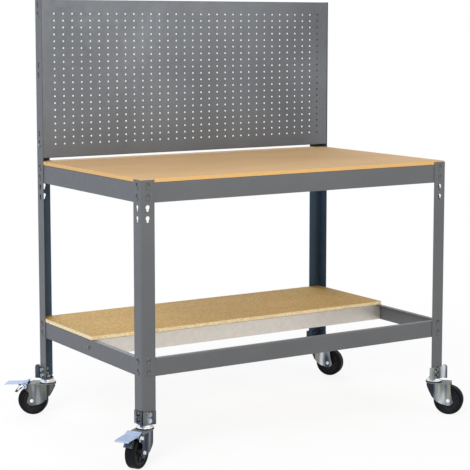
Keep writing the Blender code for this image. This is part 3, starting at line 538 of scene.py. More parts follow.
class FinishWiring(Wiring):
    """The node tree of one finish."""

    def __init__(self, name: str) -> None:
        """Make a material with its Principled shader.

        Args:
            name: The material's name.
        """
        self.material = bpy.data.materials.new(name)
        self.material.use_nodes = True
        super().__init__(self.material.node_tree)
        self.shader = self.tree.nodes["Principled BSDF"]
        self.place = self.node("TexCoord").outputs["Object"]

    def stretched(self, scale: Colour) -> Socket:
        """Return the object coordinates times a scale for each axis."""
        return self.node("Mapping", {"Scale": scale, "Vector": self.place}).outputs["Vector"]

    def noise(self, scale: float, detail: float = 2.0, rough: float = 0.5, place: Socket | None = None) -> Socket:
        """Return noise of a scale per metre, with finer layers and their strength."""
        feeds = {"Scale": scale, "Detail": detail, "Roughness": rough, "Vector": place or self.place}
        return self.node("TexNoise", feeds).outputs["Fac"]

    def cells(self, scale: float, place: Socket | None = None) -> Socket:
        """Return one random value for each cell of a scale per metre."""
        cells = self.node("TexVoronoi", {"Scale": scale, "Vector": place or self.place})
        return self.node("SeparateColor", {"Color": cells.outputs["Color"]}).outputs["Red"]

    def ramp(self, value: Socket, stops: Stops) -> Socket:
        """Return a colour that follows a value.

        Args:
            value: The value that is looked up.
            stops: Places from 0 to 1, each with its colour.

        Returns:
            The colour's socket.
        """
        made = self.node("ValToRGB", {"Fac": value})
        stripe = made.color_ramp.elements
        while len(stripe) < len(stops):
            stripe.new(0.5)
        for element, (place, colour) in zip(stripe, stops):
            element.position = place
            element.color = (*colour, 1)
        return made.outputs["Color"]

    def tinted(self, colour: Socket | Colour, value: Socket) -> Socket:
        """Return a colour made lighter or darker by a factor."""
        return self.node("VectorMath", {0: colour, "Scale": value}, operation="SCALE").outputs["Vector"]

    def blend(self, value: Socket, low: Socket, high: Socket) -> Socket:
        """Return one colour at value 0 and another at value 1."""
        return self.node("Mix", {0: value, 6: low, 7: high}, data_type="RGBA").outputs[2]

    def surface(self, feeds: dict[str, object], height: Socket, strength: float, depth: float) -> Material:
        """Feed the shader and raise its surface.

        Args:
            feeds: A socket or a value for each of the shader's inputs that isn't left alone.
            height: How high the surface stands, from 0 to 1.
            strength: How strongly that shows.
            depth: The height that 1 stands for.

        Returns:
            The material.
        """
        bump = self.node("Bump", {"Strength": strength, "Distance": depth, "Height": height})
        self.feed(self.shader, {**feeds, "Normal": bump.outputs["Normal"]})
        return self.material


@dataclass(frozen=True)
class PaintedSteel:
    """Satin powder coat with a fine metal fleck and a cloudiness, faint on the frame and on the panel strong enough to
    be a painted sheen.
    """

    name: str
    base: Colour
    gloss: float = 0.42
    metal: float = 0.25
    fleck: float = 0.10
    cloud: float = 0.05
    cloud_scale: float = 7.0
    specular: float = 0.5

    def make(self) -> Material:
        """Make the material.

        Returns:
            The material.
        """
        wiring = FinishWiring(self.name)
        fleck = wiring.span(wiring.noise(1500, 2.0, 0.7), 1 - self.fleck, 1 + self.fleck)
        cloud = wiring.span(wiring.noise(self.cloud_scale, 3.0), 1 - self.cloud, 1 + self.cloud)
        return wiring.surface({
            "Base Color": wiring.tinted(self.base, wiring.combine("MULTIPLY", fleck, cloud)),
            "Roughness": wiring.span(wiring.noise(60, 3.0), self.gloss - 0.05, self.gloss + 0.06),
            "Metallic": self.metal, "Specular IOR Level": self.specular,
        }, wiring.noise(700, 2.0), 0.12, 0.0004)


@dataclass(frozen=True)
class PressedBoard:
    """Pressed wood board: a sanded face of small chips, and a coarser sawn edge."""

    name: str
    pale: Colour
    middle: Colour
    dark: Colour
    edge_pale: Colour
    edge_dark: Colour
    chip_scale: float = 520.0
    contrast: float = 1.0
    saw_scale: float = 330.0

    def make(self) -> Material:
        """Make the material.

        Returns:
            The material.
        """
        wiring = FinishWiring(self.name)
        chips = wiring.cells(self.chip_scale, wiring.stretched((0.55, 1.0, 1.0)))
        soft = wiring.noise(self.chip_scale * 0.6, 5.0, 0.7)
        mixed = wiring.node("Mix", {0: 0.62, 2: chips, 3: soft}).outputs[0]
        spread = wiring.span(mixed, 0.5 - self.contrast / 2, 0.5 + self.contrast / 2, 0.25, 0.75)
        cloud = wiring.span(wiring.noise(5, 4.0, 0.55, wiring.stretched((0.5, 1.6, 1.0))), 0.93, 1.06)
        face = wiring.tinted(wiring.ramp(spread, ((0.0, self.dark), (0.5, self.middle), (1.0, self.pale))), cloud)
        sawn = wiring.noise(self.saw_scale, 6.0, 0.75, wiring.stretched((1.0, 1.0, 1.7)))
        edge = wiring.ramp(wiring.span(sawn, 0.0, 1.0), ((0.0, self.edge_dark), (1.0, self.edge_pale)))
        normal = wiring.node("SeparateXYZ", {"Vector": wiring.node("NewGeometry").outputs["True Normal"]})
        flat = wiring.combine("ABSOLUTE", normal.outputs["Z"])
        return wiring.surface({
            "Base Color": wiring.blend(wiring.span(flat, 0.0, 1.0, 0.6, 0.9), edge, face),
            "Roughness": wiring.span(soft, 0.58, 0.78), "Specular IOR Level": 0.3,
        }, mixed, 0.25, 0.0005)


@dataclass(frozen=True)
class BareMetal:
    """Zinc on steel: spangled or smooth, with upright streaks that are partly a passivation tint and partly painted
    reflection.
    """

    name: str
    base: Colour
    gloss: float = 0.28
    metal: float = 1.0
    spangle: float = 0.0
    stain: float = 0.12
    tint_and_reflection_bands: Stops = ()
    streak_scale: float = 42.0
    edge: Colour = (1.0, 1.0, 1.0)

    def make(self) -> Material:
        """Make the material.

        Returns:
            The material.
        """
        wiring = FinishWiring(self.name)
        crystal = wiring.span(wiring.cells(90), 1 - self.spangle, 1 + self.spangle, 0.0, 1.0)
        cloud = wiring.span(wiring.noise(45, 4.0, 0.6), 1 - self.stain, 1 + self.stain * 0.5)
        colour: Colour | Socket = self.base
        if self.tint_and_reflection_bands:
            # Partly painted reflection: stretched noise lays upright bands from near black to pale, besides the
            # passivation tint
            streaks = wiring.noise(self.streak_scale, 1.5, 0.5, wiring.stretched((1.0, 1.0, 0.14)))
            colour = wiring.ramp(streaks, self.tint_and_reflection_bands)
        return wiring.surface({
            "Base Color": wiring.tinted(colour, wiring.combine("MULTIPLY", crystal, cloud)),
            "Roughness": wiring.span(wiring.noise(90, 3.0), self.gloss - 0.05, self.gloss + 0.06),
            "Metallic": self.metal, "Specular Tint": (*self.edge, 1.0),
        }, wiring.noise(260, 2.0), 0.06, 0.0003)


@dataclass(frozen=True)
class DarkPolymer:
    """Black rubber or moulded plastic, slightly dusty."""

    name: str
    base: Colour
    gloss: float
    grain_depth: float
    specular: float
    dust: float = 0.25

    def make(self) -> Material:
        """Make the material.

        Returns:
            The material.
        """
        wiring = FinishWiring(self.name)
        dusty = wiring.span(wiring.noise(70, 5.0, 0.65), 1 - self.dust, 1 + self.dust)
        return wiring.surface({
            "Base Color": wiring.tinted(self.base, dusty),
            "Roughness": wiring.span(wiring.noise(220, 3.0), self.gloss - 0.08, self.gloss + 0.1),
            "Specular IOR Level": self.specular,
        }, wiring.noise(900, 3.0), 0.3, self.grain_depth)


class Finishes:
    """Every finish of the bench, made once."""

    # Upright zinc bands from near black to pale: partly a passivation tint, partly painted reflection
    tint_and_reflection_bands: Stops = (
        (0.36, (0.050, 0.060, 0.082)), (0.44, (0.19, 0.21, 0.25)), (0.50, (0.26, 0.27, 0.21)),
        (0.56, (0.36, 0.39, 0.43)), (0.64, (0.60, 0.63, 0.67)),
    )
    # Painted shade: a darker copy of the zinc bands for parts that stand in shade
    shaded_film_bands: Stops = (
        (0.36, (0.060, 0.070, 0.090)), (0.44, (0.105, 0.120, 0.145)), (0.50, (0.150, 0.155, 0.128)),
        (0.56, (0.165, 0.175, 0.190)), (0.64, (0.27, 0.29, 0.31)),
    )
    # Painted shade and reflection: near-black to olive bands for the forks' round fronts and the race caps' rims
    painted_shade_round_bands: Stops = (
        (0.38, (0.020, 0.026, 0.036)), (0.50, (0.045, 0.052, 0.060)), (0.60, (0.13, 0.135, 0.105)),
    )
    dim: Colour = (0.42, 0.45, 0.50)

    def __init__(self) -> None:
        """Make the materials."""
        dim = self.dim
        self.paint = PaintedSteel("powder_coat_outside", (0.099, 0.1015, 0.105)).make()
        # Painted shade: a darker blue copy of the coat for the posts' inside faces, standing in for the shade inside
        # each angle
        self.shadow_paint = PaintedSteel(
            "painted_shade_post_inside", (0.042, 0.074, 0.112), gloss=0.5, metal=0.1, specular=0.25
        ).make()
        # Painted sheen: the panel's broad, strong cloud stands in for soft sheen patches
        self.panel_paint_with_sheen = PaintedSteel(
            "powder_coat_panel_painted_sheen", (0.118, 0.124, 0.133), gloss=0.36, metal=0.45, fleck=0.36, cloud=0.17, cloud_scale=3.2
        ).make()
        self.worktop = PressedBoard(
            "worktop_board", (0.71, 0.485, 0.262), (0.62, 0.405, 0.205), (0.505, 0.318, 0.152),
            (0.74, 0.46, 0.175), (0.52, 0.29, 0.096), 700.0, 0.6,
        ).make()
        self.shelf = PressedBoard(
            "shelf_board", (0.65, 0.445, 0.156), (0.455, 0.288, 0.082), (0.285, 0.170, 0.044),
            (1.0, 0.86, 0.56), (0.50, 0.33, 0.13), 420.0, 1.0, 150.0,
        ).make()
        self.galvanised = BareMetal(
            "galvanised_sheet", (0.66, 0.61, 0.55), 0.42, metal=0.75, spangle=0.03, stain=0.05
        ).make()
        self.zinc = BareMetal("zinc_plate", (0.36, 0.39, 0.43), 0.26, tint_and_reflection_bands=self.tint_and_reflection_bands, edge=(0.62, 0.65, 0.70)).make()
        # Painted shade: a darker copy of the zinc, with dimmed reflections, for the left forks, left bracket sheets,
        # right bracket bolts and brake straps
        self.shaded_zinc = BareMetal("shaded_zinc_plate", (0.18, 0.19, 0.21), 0.32, tint_and_reflection_bands=self.shaded_film_bands, edge=dim).make()
        # Painted shade and reflection: near-black zinc for round fronts and race rims
        self.painted_shade_round_zinc = BareMetal("painted_shade_round_zinc_plate", (0.08, 0.09, 0.10), 0.30, tint_and_reflection_bands=self.painted_shade_round_bands, edge=dim).make()
        self.crown_zinc = BareMetal(
            "crown_zinc_plate", (0.17, 0.18, 0.175), 0.50, metal=0.12, stain=0.22, edge=dim
        ).make()
        self.pedal_zinc = BareMetal(
            "blue_zinc_plate", (0.37, 0.46, 0.63), 0.42, metal=0.30, stain=0.05, edge=(0.33, 0.38, 0.48)
        ).make()
        # Partly painted highlight: a near-white, mostly matt zinc for the race dishes, axle bolts and springs
        self.bright_zinc_with_highlight = BareMetal(
            "bright_zinc_painted_highlight", (0.80, 0.82, 0.84), 0.36, metal=0.35, stain=0.05, edge=(0.70, 0.73, 0.76)
        ).make()
        self.rubber = DarkPolymer("tyre_rubber", (0.005, 0.005, 0.006), 0.6, 0.0002, 0.12).make()
        self.hub = DarkPolymer("moulded_hub", (0.008, 0.008, 0.010), 0.45, 0.0001, 0.22).make()


@dataclass
class PhotoCamera:
    """The camera at the photograph's viewing angle."""

    eye: Vector
    yaw: float = 32.138
    pitch: float = 6.306
    lens: float = 113.95
    sensor: float = 36.0
    rise: float = -0.095

    def build(self) -> None:
        """Make the camera and make it the scene's own."""
        data = bpy.data.cameras.new("photo_camera")
        data.lens, data.sensor_width, data.shift_y = self.lens, self.sensor, self.rise
        data.clip_end = 100
        camera = bpy.data.objects.new("photo_camera", data)
        camera.location = self.eye
        camera.rotation_euler = (math.radians(90 - self.pitch), 0, -math.radians(self.yaw))
        bpy.context.scene.collection.objects.link(camera)
        bpy.context.scene.camera = camera


@dataclass
class SoftLamp:
    """A square soft lamp aimed at a point."""

    name: str
    place: tuple[float, float, float]
    size: float
    power: float
    colour: Colour = (1.0, 1.0, 1.0)
    target: tuple[float, float, float] = (0.0, 0.0, 0.7)

    def build(self) -> None:
        """Make the lamp."""
        data = bpy.data.lights.new(self.name, "AREA")
        data.size, data.energy, data.color = self.size, self.power, self.colour
        lamp = bpy.data.objects.new(self.name, data)
        lamp.location = self.place
        aim = Vector(self.target) - Vector(self.place)
        lamp.rotation_euler = aim.to_track_quat("-Z", "Y").to_euler()
        bpy.context.scene.collection.objects.link(lamp)


@dataclass
class Studio:
    """A pale floor, soft lamps and a white surround."""

    floor_half: float = 30.0
    ambient: float = 0.42
    near_glow: float = 0.85
    glow_rise: Point = (0.9, 2.6)
    lamps: list[SoftLamp] = field(default_factory=lambda: [
        SoftLamp("key", (-3.4, -3.0, 3.6), 2.6, 210, (1.0, 0.985, 0.96)),
        SoftLamp("fill", (1.4, -3.6, 2.2), 2.2, 44, (0.94, 0.97, 1.0)),
        SoftLamp("back", (0.5, 3.6, 3.4), 3.0, 90),
        SoftLamp("cool_side", (-4.2, 1.4, 1.5), 2.4, 40, (0.12, 0.42, 1.0)),
    ])

    def build(self) -> None:
        """Make the surround, the floor and the lamps."""
        scene = bpy.context.scene
        scene.view_settings.view_transform = "Standard"
        scene.world = bpy.data.worlds.new("studio")
        scene.world.use_nodes = True
        wiring = Wiring(scene.world.node_tree)
        level = wiring.span(wiring.seen(), self.ambient, 1.0, 0.0, 1.0)
        wiring.feed(wiring.tree.nodes["Background"], {"Strength": level, "Color": (1, 1, 1, 1)})
        self.floor()
        for lamp in self.lamps:
            lamp.build()

    def floor(self) -> None:
        """Make the pale floor, which keeps the bench's shadow."""
        corners = ((-1, -1), (1, -1), (1, 1), (-1, 1))
        form = Form().skin([[Vector((x, y, 0)) * self.floor_half for x, y in corners]])
        wiring = FinishWiring("studio_floor")
        wiring.feed(wiring.shader, {
            "Base Color": wiring.tinted((0.93, 0.93, 0.93), wiring.span(wiring.noise(3, 2.0), 0.985, 1.0)),
            "Roughness": 0.9, "Specular IOR Level": 0.1,
        })
        distance = wiring.node("VectorMath", {0: wiring.place}, operation="LENGTH").outputs["Value"]
        strength = wiring.span(distance, self.near_glow, 1.0, *self.glow_rise)
        share = wiring.combine("MULTIPLY", wiring.seen(), strength)
        glow = wiring.node("Emission", {"Color": (1, 1, 1, 1)})
        mixed = wiring.node("MixShader", {0: share, 1: wiring.shader.outputs[0], 2: glow.outputs[0]})
        wiring.feed(wiring.tree.nodes["Material Output"], {"Surface": mixed.outputs[0]})
        form.object("floor", [wiring.material])


@dataclass(frozen=True)
class BenchPlan:
    """The bench's plan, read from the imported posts."""

    centre: Vector
    half_width: float
    half_depth: float

    @classmethod
    def read(cls) -> "BenchPlan":
        """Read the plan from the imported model.

        Returns:
            The plan.
        """
        low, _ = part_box("front_left_post")
        _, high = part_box("rear_right_post")
        centre = Vector(((low.x + high.x) / 2, (low.y + high.y) / 2, 0))
        return cls(centre, (high.x - low.x) / 2, (high.y - low.y) / 2)

    def at_corner(self, corner: Corner) -> Matrix:
        """Return a corner's matrix: from the posts' outer corner on the floor, x and y run inward."""
        place = self.centre + Vector((corner.side * self.half_width, corner.end * self.half_depth, 0))
        return Matrix.Translation(place) @ Matrix.Diagonal((-corner.side, -corner.end, 1, 1))

    def at_edge(self, edge: Edge) -> Matrix:
        """Return a side's matrix: from the floor under its outer plane's middle, x runs along it.

        Args:
            edge: The side of the bench.

        Returns:
            The matrix, whose y points inward.
        """
        reach = self.half_depth if edge.is_long else self.half_width
        facing = Matrix((edge.along, edge.inward, (0, 0, 1))).transposed().to_4x4()
        return Matrix.Translation(self.centre - edge.inward * reach) @ facing


@dataclass(frozen=True)
class HexFastener:
    """A hexagon bolt with washers and its nut, which points along local z from its head's seat."""

    across: float
    head: float
    shank: float
    nut: float
    washer: float = 0.0009
    washer_reach: float = 1.32

    def ring(self, base: float, height: float) -> Form:
        """Return a chamfered hexagon prism.

        Args:
            base: The height of its seat.
            height: Its signed height, below zero when it points down.

        Returns:
            The form.
        """
        flat = self.across * math.cos(math.pi / 6)
        rings: list[list[Vector]] = [[], [], []]
        for step in range(24):
            angle = math.tau * step / 24
            radius = flat / math.cos((angle + math.pi / 6) % (math.pi / 3) - math.pi / 6)
            chamfer = (radius - flat * 0.96) * 0.55 * math.copysign(1, height)
            levels = (base, base + height - chamfer, base + height)
            for ring, reach, level in zip(rings, (radius, radius, flat * 0.96), levels):
                ring.append(Vector((reach * math.cos(angle), reach * math.sin(angle), level)))
        return Form().skin(rings)

    def form(self, grip: float, spare: float = 0.003) -> Form:
        """Return the whole fastener.

        Args:
            grip: What it holds between its seats.
            spare: How far the thread stands out of the nut.

        Returns:
            The form.
        """
        made = self.ring(-self.washer, -self.head)
        disc, chamfer = self.across * self.washer_reach, self.washer / 3
        for base, way in ((0.0, -1), (grip, 1)):
            rim, top = base + way * (self.washer - chamfer), base + way * self.washer
            made.add(Form().turned([(0, base), (disc, base), (disc, rim), (disc - chamfer, top), (0, top)], 32))
        made.add(self.ring(grip + self.washer, self.nut))
        end = grip + self.washer + self.nut + spare
        pitch = self.shank / 4
        profile: list[Point] = [(0, grip)]
        level = grip
        while level < end - pitch:
            profile += [(self.shank, level), (self.shank * 0.86, level + pitch / 2)]
            level += pitch
        return made.add(Form().turned([*profile, (self.shank * 0.8, end), (0, end)], 20))


@dataclass(frozen=True)
class SideBolt:
    """An M6 bolt that runs inward from the left or right side of the bench."""

    node: str
    name: str
    side: int
    grip: float
    head_depth: float = 0.004
    spare: float = 0.001
    fastener: HexFastener = HexFastener(0.0058, 0.0036, 0.003, 0.0042, 0.0006, 1.15)

    def build(self, finish: Material) -> None:
        """Make the bolt.

        Args:
            finish: Its material.
        """
        low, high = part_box(self.node)
        seat = low.x + self.head_depth if self.side < 0 else high.x - self.head_depth
        place = shift(seat, (low.y + high.y) / 2, (low.z + high.z) / 2) @ turn("Y", -90 * self.side)
        form = self.fastener.form(self.grip, self.spare).placed(place)
        Piece(self.name, "frame", Slot.ZINC, (self.node,)).settle(form, finish)


@dataclass
class SubAssembly:
    """What every sub-assembly is given: the bench's plan and its finishes."""

    plan: BenchPlan
    finishes: Finishes


@dataclass
class FoldedSheet(SubAssembly):
    """A sub-assembly that is folded from sheet."""

    sheet: float = 0.002
    bend: float = 0.004

    def flap(self, reach: float) -> float:
        """Return a flap's flat length past its bend line, for how far it reaches once folded."""
        return (self.bend - self.sheet / 2) * math.pi / 2 + reach - self.bend


@dataclass
class AnglePost(FoldedSheet):
    """A folded angle post with teardrop keyholes along the middle of both flanges."""

    flange: float = 0.048
    eye: float = 0.0071
    eye_rise: float = 0.0034
    foot: float = 0.0044
    foot_drop: float = 0.0058
    neck: float = 0.0036
    joint_keyholes: tuple[float, ...] = (0.8717, 0.8377, 0.8037, 0.7697, 0.32645, 0.29245)
    panel_keyholes: tuple[float, ...] = (0.955, 0.989, 1.190, 1.224, 1.396, 1.430)
    bolt_hole: float = 0.0045

    def keyhole(self, x: float, z: float) -> list[Point]:
        """Return a keyhole's outline: a round eye, a short neck and a smaller round foot.

        Args:
            x: The keyhole's place across the flange.
            z: The keyhole's height.

        Returns:
            The outline's points.
        """
        eye_turn = math.degrees(math.acos(self.neck / self.eye))
        foot_turn = math.degrees(math.acos(self.neck / self.foot))
        points = arc((x, z + self.eye_rise), self.eye, -eye_turn, 180 + eye_turn, 18)
        return points + arc((x, z - self.foot_drop), self.foot, 180 - foot_turn, 360 + foot_turn, 12)

    def build(self, corner: Corner) -> None:
        """Make one post.

        Args:
            corner: The post's corner.
        """
        node = f"{corner.label}_post"
        low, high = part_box(node)
        near, far = self.bend - self.flange, self.flap(self.flange)
        lines = (self.bend - POST_LINE, self.flap(POST_LINE))
        holes = [self.keyhole(x, level) for level in self.joint_keyholes for x in lines]
        if corner.end > 0:
            holes += [self.keyhole(lines[1], level) for level in self.panel_keyholes]
        holes += [circle((x, level), self.bolt_hole, 16) for level in FOOT_BOLTS for x in lines]
        outline = [(near, low.z), (far, low.z), (far, high.z), (near, high.z)]
        form = Form().sheet(outline, self.sheet, holes).fold(0, 0.0, 1, self.bend, 90, 8)
        form.placed(self.plan.at_corner(corner) @ upright(self.bend, 0, along=-1))
        piece = Piece(f"{corner.label}_angle_post", "frame", Slot.PAINTED, (node,), 0.0003)
        # The underside finish paints shade on the post's inside faces
        piece.settle(form, self.finishes.paint, self.finishes.shadow_paint)


@dataclass
class RivetedBeam(FoldedSheet):
    """A beam folded from sheet: an upright web, a ledge for the board, and domed rivets."""

    sheet: float = 0.0018
    bend: float = 0.003
    inset: float = 0.0023
    ledge: float = 0.020
    pitch: float = 0.034
    rivet: float = 0.006
    rivet_height: float = 0.0022
    rivet_drop: float = 0.0015
    shank: float = 0.003
    bolt_place: float = -0.005
    bolt_hole: float = 0.0035

    def rivet_form(self) -> Form:
        """Return a domed rivet whose head stands out along local z from height zero.

        Returns:
            The form.
        """
        root = -self.inset - self.sheet / 2
        profile: list[Point] = [(0, root), (self.shank, root), (self.shank, SEAT_GAP), (self.rivet, SEAT_GAP)]
        for step in range(6):
            rise = math.radians(15 * step)
            level = SEAT_GAP + self.rivet_height * (0.35 + 0.65 * math.sin(rise))
            profile.append((self.rivet * math.cos(rise), level))
        return Form().turned([*profile, (0, SEAT_GAP + self.rivet_height)], 24)

    def build(self, edge: Edge, level: Level) -> None:
        """Make one beam and its rivets.

        Args:
            edge: The beam's side of the bench.
            level: Whether it carries the worktop or stands at shelf height.
        """
        label = f"{edge.label}_{level.value}"
        low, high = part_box(f"{label}_beam")
        half_span = self.plan.half_width if edge.is_long else self.plan.half_depth
        axis = 0 if edge.is_long else 1
        web = (high[axis] - low[axis]) / 2
        shelf = min(half_span - self.inset - SEAT_GAP - (self.sheet if edge.is_long else self.ledge), web)
        drop = low.z - high.z + self.bend
        flap = self.flap(self.ledge)
        outline = [(-web, drop), (web, drop), (web, flap), (-web, flap)]
        if shelf < web:
            outline[2:] = [(web, 0), (shelf, 0), (shelf, flap), (-shelf, flap), (-shelf, 0), (-web, 0)]
        middle = (high.z + low.z) / 2
        holes = []
        if level is Level.LOW and not edge.is_long:
            holes.append(circle((self.bolt_place, middle - high.z + self.bend), self.bolt_hole, 16))
        place = self.plan.at_edge(edge)
        form = Form().sheet(outline, self.sheet, holes).fold(1, 0.0, 1, self.bend, 90, 6).plain()
        form.placed(place @ upright(0, self.inset, high.z - self.bend))
        piece = Piece(f"{label}_ledge_beam", "frame", Slot.PAINTED, (f"{label}_beam",), 0.0003)
        piece.settle(form, self.finishes.paint)
        rivets = Form()
        for end in (-1, 1):
            for step in (-0.5, 0.5):
                spot = shift(end * (half_span - POST_LINE), 0, middle - self.rivet_drop + step * self.pitch)
                rivets.add(self.rivet_form(), place @ spot @ turn("X", 90))
        Piece(f"{label}_rivets", "frame", Slot.PAINTED).settle(rivets, self.finishes.paint)


@dataclass
class Board:
    """A pressed board with clipped corners and slightly broken edges."""

    clip: float = 0.0023
    broken_edge: float = 0.0008

    def build(self, node: str, front_clipped: bool, finish: Material) -> None:
        """Make one board.

        Args:
            node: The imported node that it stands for.
            front_clipped: Whether its front corners are clipped too.
            finish: Its material.
        """
        low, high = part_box(node)
        clip = self.clip
        front = clip if front_clipped else clip / 4
        outline = [
            (high.x - clip, high.y), (low.x + clip, high.y), (low.x, high.y - clip), (low.x, low.y + front),
            (low.x + front, low.y), (high.x - front, low.y), (high.x, low.y + front), (high.x, high.y - clip),
        ]
        form = Form().sheet(outline, high.z - low.z).plain().placed(shift(0, 0, high.z))
        Piece(f"{node}_board", "frame", Slot.BOARD, (node,), self.broken_edge).settle(form, finish)


@dataclass
class ShelfRail(FoldedSheet):
    """The galvanised rail under the shelf's front edge, with its end tabs and bolts."""

    sheet: float = 0.0015
    bend: float = 0.0028
    top_flange: float = 0.022
    low_flange: float = 0.012
    tab: float = 0.030
    notch: float = 0.0182
    tab_drop: float = 0.0021
    bolt_inset: float = 0.018
    bolt_hole: float = 0.0035
    bolt_grip: float = 0.0042

    def build(self) -> None:
        """Make the rail and its two bolts."""
        low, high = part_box("shelf_rail")
        half = (high.x - low.x) / 2
        w, top, bottom = half - self.bend, high.z - self.bend, low.z + self.bend
        tab_top, inner = high.z - self.tab_drop, half - self.notch
        side, up, down = w + self.flap(self.tab), top + self.flap(self.top_flange), bottom - self.flap(self.low_flange)
        outline = [
            (-w, bottom), (-w, down), (w, down), (w, bottom), (side, bottom), (side, tab_top), (w, tab_top),
            (inner, tab_top), (inner, top), (inner, up), (-inner, up), (-inner, top), (-inner, tab_top),
            (-w, tab_top), (-side, tab_top), (-side, bottom),
        ]
        across = w + self.flap(self.bolt_inset)
        holes = [circle((end * across, (high.z + low.z) / 2), self.bolt_hole, 16) for end in (-1, 1)]
        form = Form().sheet(outline, self.sheet, holes).folded_back(w, top, bottom, self.bend).plain()
        form.placed(upright((low.x + high.x) / 2, low.y))
        rail = Piece("galvanised_rail", "frame", Slot.GALVANISED, ("shelf_rail",), 0.00025)
        rail.settle(form, self.finishes.galvanised)
        for label, side in (("left", -1), ("right", 1)):
            bolt = SideBolt(f"shelf_rail_bolt_{label}", f"rail_bolt_{label}", side, self.bolt_grip)
            bolt.build(self.finishes.crown_zinc)


@dataclass
class Pegboard(FoldedSheet):
    """A sheet folded back on four sides, with its whole field of round holes."""

    sheet: float = 0.0012
    bend: float = 0.0024
    side_return: float = 0.040
    lip: float = 0.015
    pitch_x: float = 0.0344
    pitch_z: float = 0.0235
    columns: int = 33
    rows: int = 20
    top_row: float = 1.400
    hole: float = 0.0031
    hole_sides: int = 14
    bolt_levels: Point = (0.950, 1.391)
    bolt_depth: float = 0.0235
    bolt_hole: float = 0.0035
    bolt_grip: float = 0.0041

    def build(self) -> None:
        """Make the pegboard and its four bolts."""
        low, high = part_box("pegboard")
        w = (high.x - low.x) / 2 - self.bend
        top, bottom = high.z - self.bend, low.z + self.bend
        side, up, down = w + self.flap(self.side_return), top + self.flap(self.lip), bottom - self.flap(self.lip)
        outline = [
            (-w, bottom), (-w, down), (w, down), (w, bottom), (side, bottom), (side, top),
            (w, top), (w, up), (-w, up), (-w, top), (-side, top), (-side, bottom),
        ]
        columns = [(column - (self.columns - 1) / 2) * self.pitch_x for column in range(self.columns)]
        rows = [self.top_row - row * self.pitch_z for row in range(self.rows)]
        holes = [circle((x, z), self.hole, self.hole_sides) for x in columns for z in rows]
        across = w + self.flap(self.bolt_depth)
        holes += [circle((x, level), self.bolt_hole, 16) for x in (-across, across) for level in self.bolt_levels]
        form = Form().sheet(outline, self.sheet, holes).folded_back(w, top, bottom, self.bend).plain()
        form.placed(upright(self.plan.centre.x, low.y))
        piece = Piece("perforated_panel", "frame", Slot.PAINTED, ("pegboard",))
        # The panel's coat carries painted sheen patches
        piece.settle(form, self.finishes.panel_paint_with_sheen)
        for label, side in (("left", -1), ("right", 1)):
            for rank in ("low", "high"):
                names = (f"pegboard_bolt_{label}_{rank}", f"panel_bolt_{label}_{rank}")
                SideBolt(*names, side, self.bolt_grip).build(self.finishes.zinc)


@dataclass
class CasterAdaptor(SubAssembly):
    """The sheet bracket round a post's foot: two wings, a pinched fold at the corner and a base plate."""

    sheet: float = 0.0025
    wing: float = 0.0505
    long_wing: float = 0.060
    wing_top: float = 0.169
    fold_reach: float = 0.014
    fold_half: float = 0.003
    chamfer: float = 0.006
    plate: float = 0.004
    span: float = 0.042
    clip: float = 0.021
    bolt: HexFastener = HexFastener(0.0075, 0.0050, 0.004, 0.0058, 0.0008, 1.10)
    grip: float = 0.0051

    def fold_form(self, root: Vector, low: float, high: float) -> Form:
        """Return the pinched fold, rounded at its tip and chamfered at its top.

        Args:
            root: The plan point that the fold stands out from.
            low: The height of its foot.
            high: The height of its top.

        Returns:
            The form.
        """
        lean = Vector((-1, -1)) / math.sqrt(2)
        side = Vector((1, -1)) / math.sqrt(2)
        half, shoulder = side * self.fold_half, root + lean * (self.fold_reach - self.chamfer)
        tip = root + lean * (self.fold_reach - self.fold_half)
        start = root - lean * self.sheet
        outline = [start + half, start - half, root - half, shoulder - half]
        for step in range(-4, 5):
            bent = math.radians(22.5 * step)
            outline.append(tip + lean * self.fold_half * math.cos(bent) + half * math.sin(bent))
        form = Form().sheet([tuple(point) for point in [*outline, shoulder + half]], high - low)
        for vert in form.mesh.verts:
            past = (Vector(vert.co.xy) - root).dot(lean) - self.fold_reach + self.chamfer
            if past > 0 and vert.co.z > -1e-6:
                vert.co.z -= past
        return form.placed(shift(0, 0, high))

    def build(self, corner: Corner) -> None:
        """Make one adaptor with its base plate and bolts.

        Args:
            corner: The adaptor's corner.
        """
        node = f"{corner.label}_adaptor"
        low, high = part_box(node)
        inner, outer = -SEAT_GAP, -SEAT_GAP - self.sheet
        on_left = corner.side < 0
        side_end, face_end = outer + self.wing, outer + (self.wing if on_left else self.long_wing)
        outline = [(inner, side_end), (outer, side_end)]
        outline += arc((outer + self.sheet, outer + self.sheet), self.sheet, 180, 270, 5)
        outline += [(face_end, outer), (face_end, inner), (inner, inner)]
        form = Form().sheet(outline, self.wing_top - low.z).placed(shift(0, 0, self.wing_top))
        form.add(self.fold_form(Vector((outer, outer)), low.z, high.z))
        span, clipped = self.span, self.span - self.clip
        base = [(inner, inner), (span, inner), (span, clipped), (clipped, span), (inner, span)]
        bore = circle((KINGPIN_INSET, KINGPIN_INSET), KINGPIN_BORE, 24)
        form.add(Form().sheet(base, self.plate, [bore]), shift(0, 0, low.z + self.plate))
        place = self.plan.at_corner(corner)
        # Painted shade: left brackets take the darker zinc copy on their sheet, right brackets on their bolts
        finishes = [self.finishes.shaded_zinc, self.finishes.zinc]
        sheet_finish, bolt_finish = finishes if on_left else finishes[::-1]
        piece = Piece(f"{corner.label}_post_bracket", "frame", Slot.ZINC, (node,), 0.0005)
        piece.settle(form.plain().placed(place), sheet_finish)
        bolts = Form()
        for level in FOOT_BOLTS:
            bolts.add(self.bolt.form(self.grip), place @ shift(POST_LINE, outer, level) @ turn("X", -90))
            bolts.add(self.bolt.form(self.grip), place @ shift(outer, POST_LINE, level) @ turn("Y", 90))
        Piece(f"{corner.label}_bracket_bolts", "frame", Slot.ZINC).settle(bolts, bolt_finish)


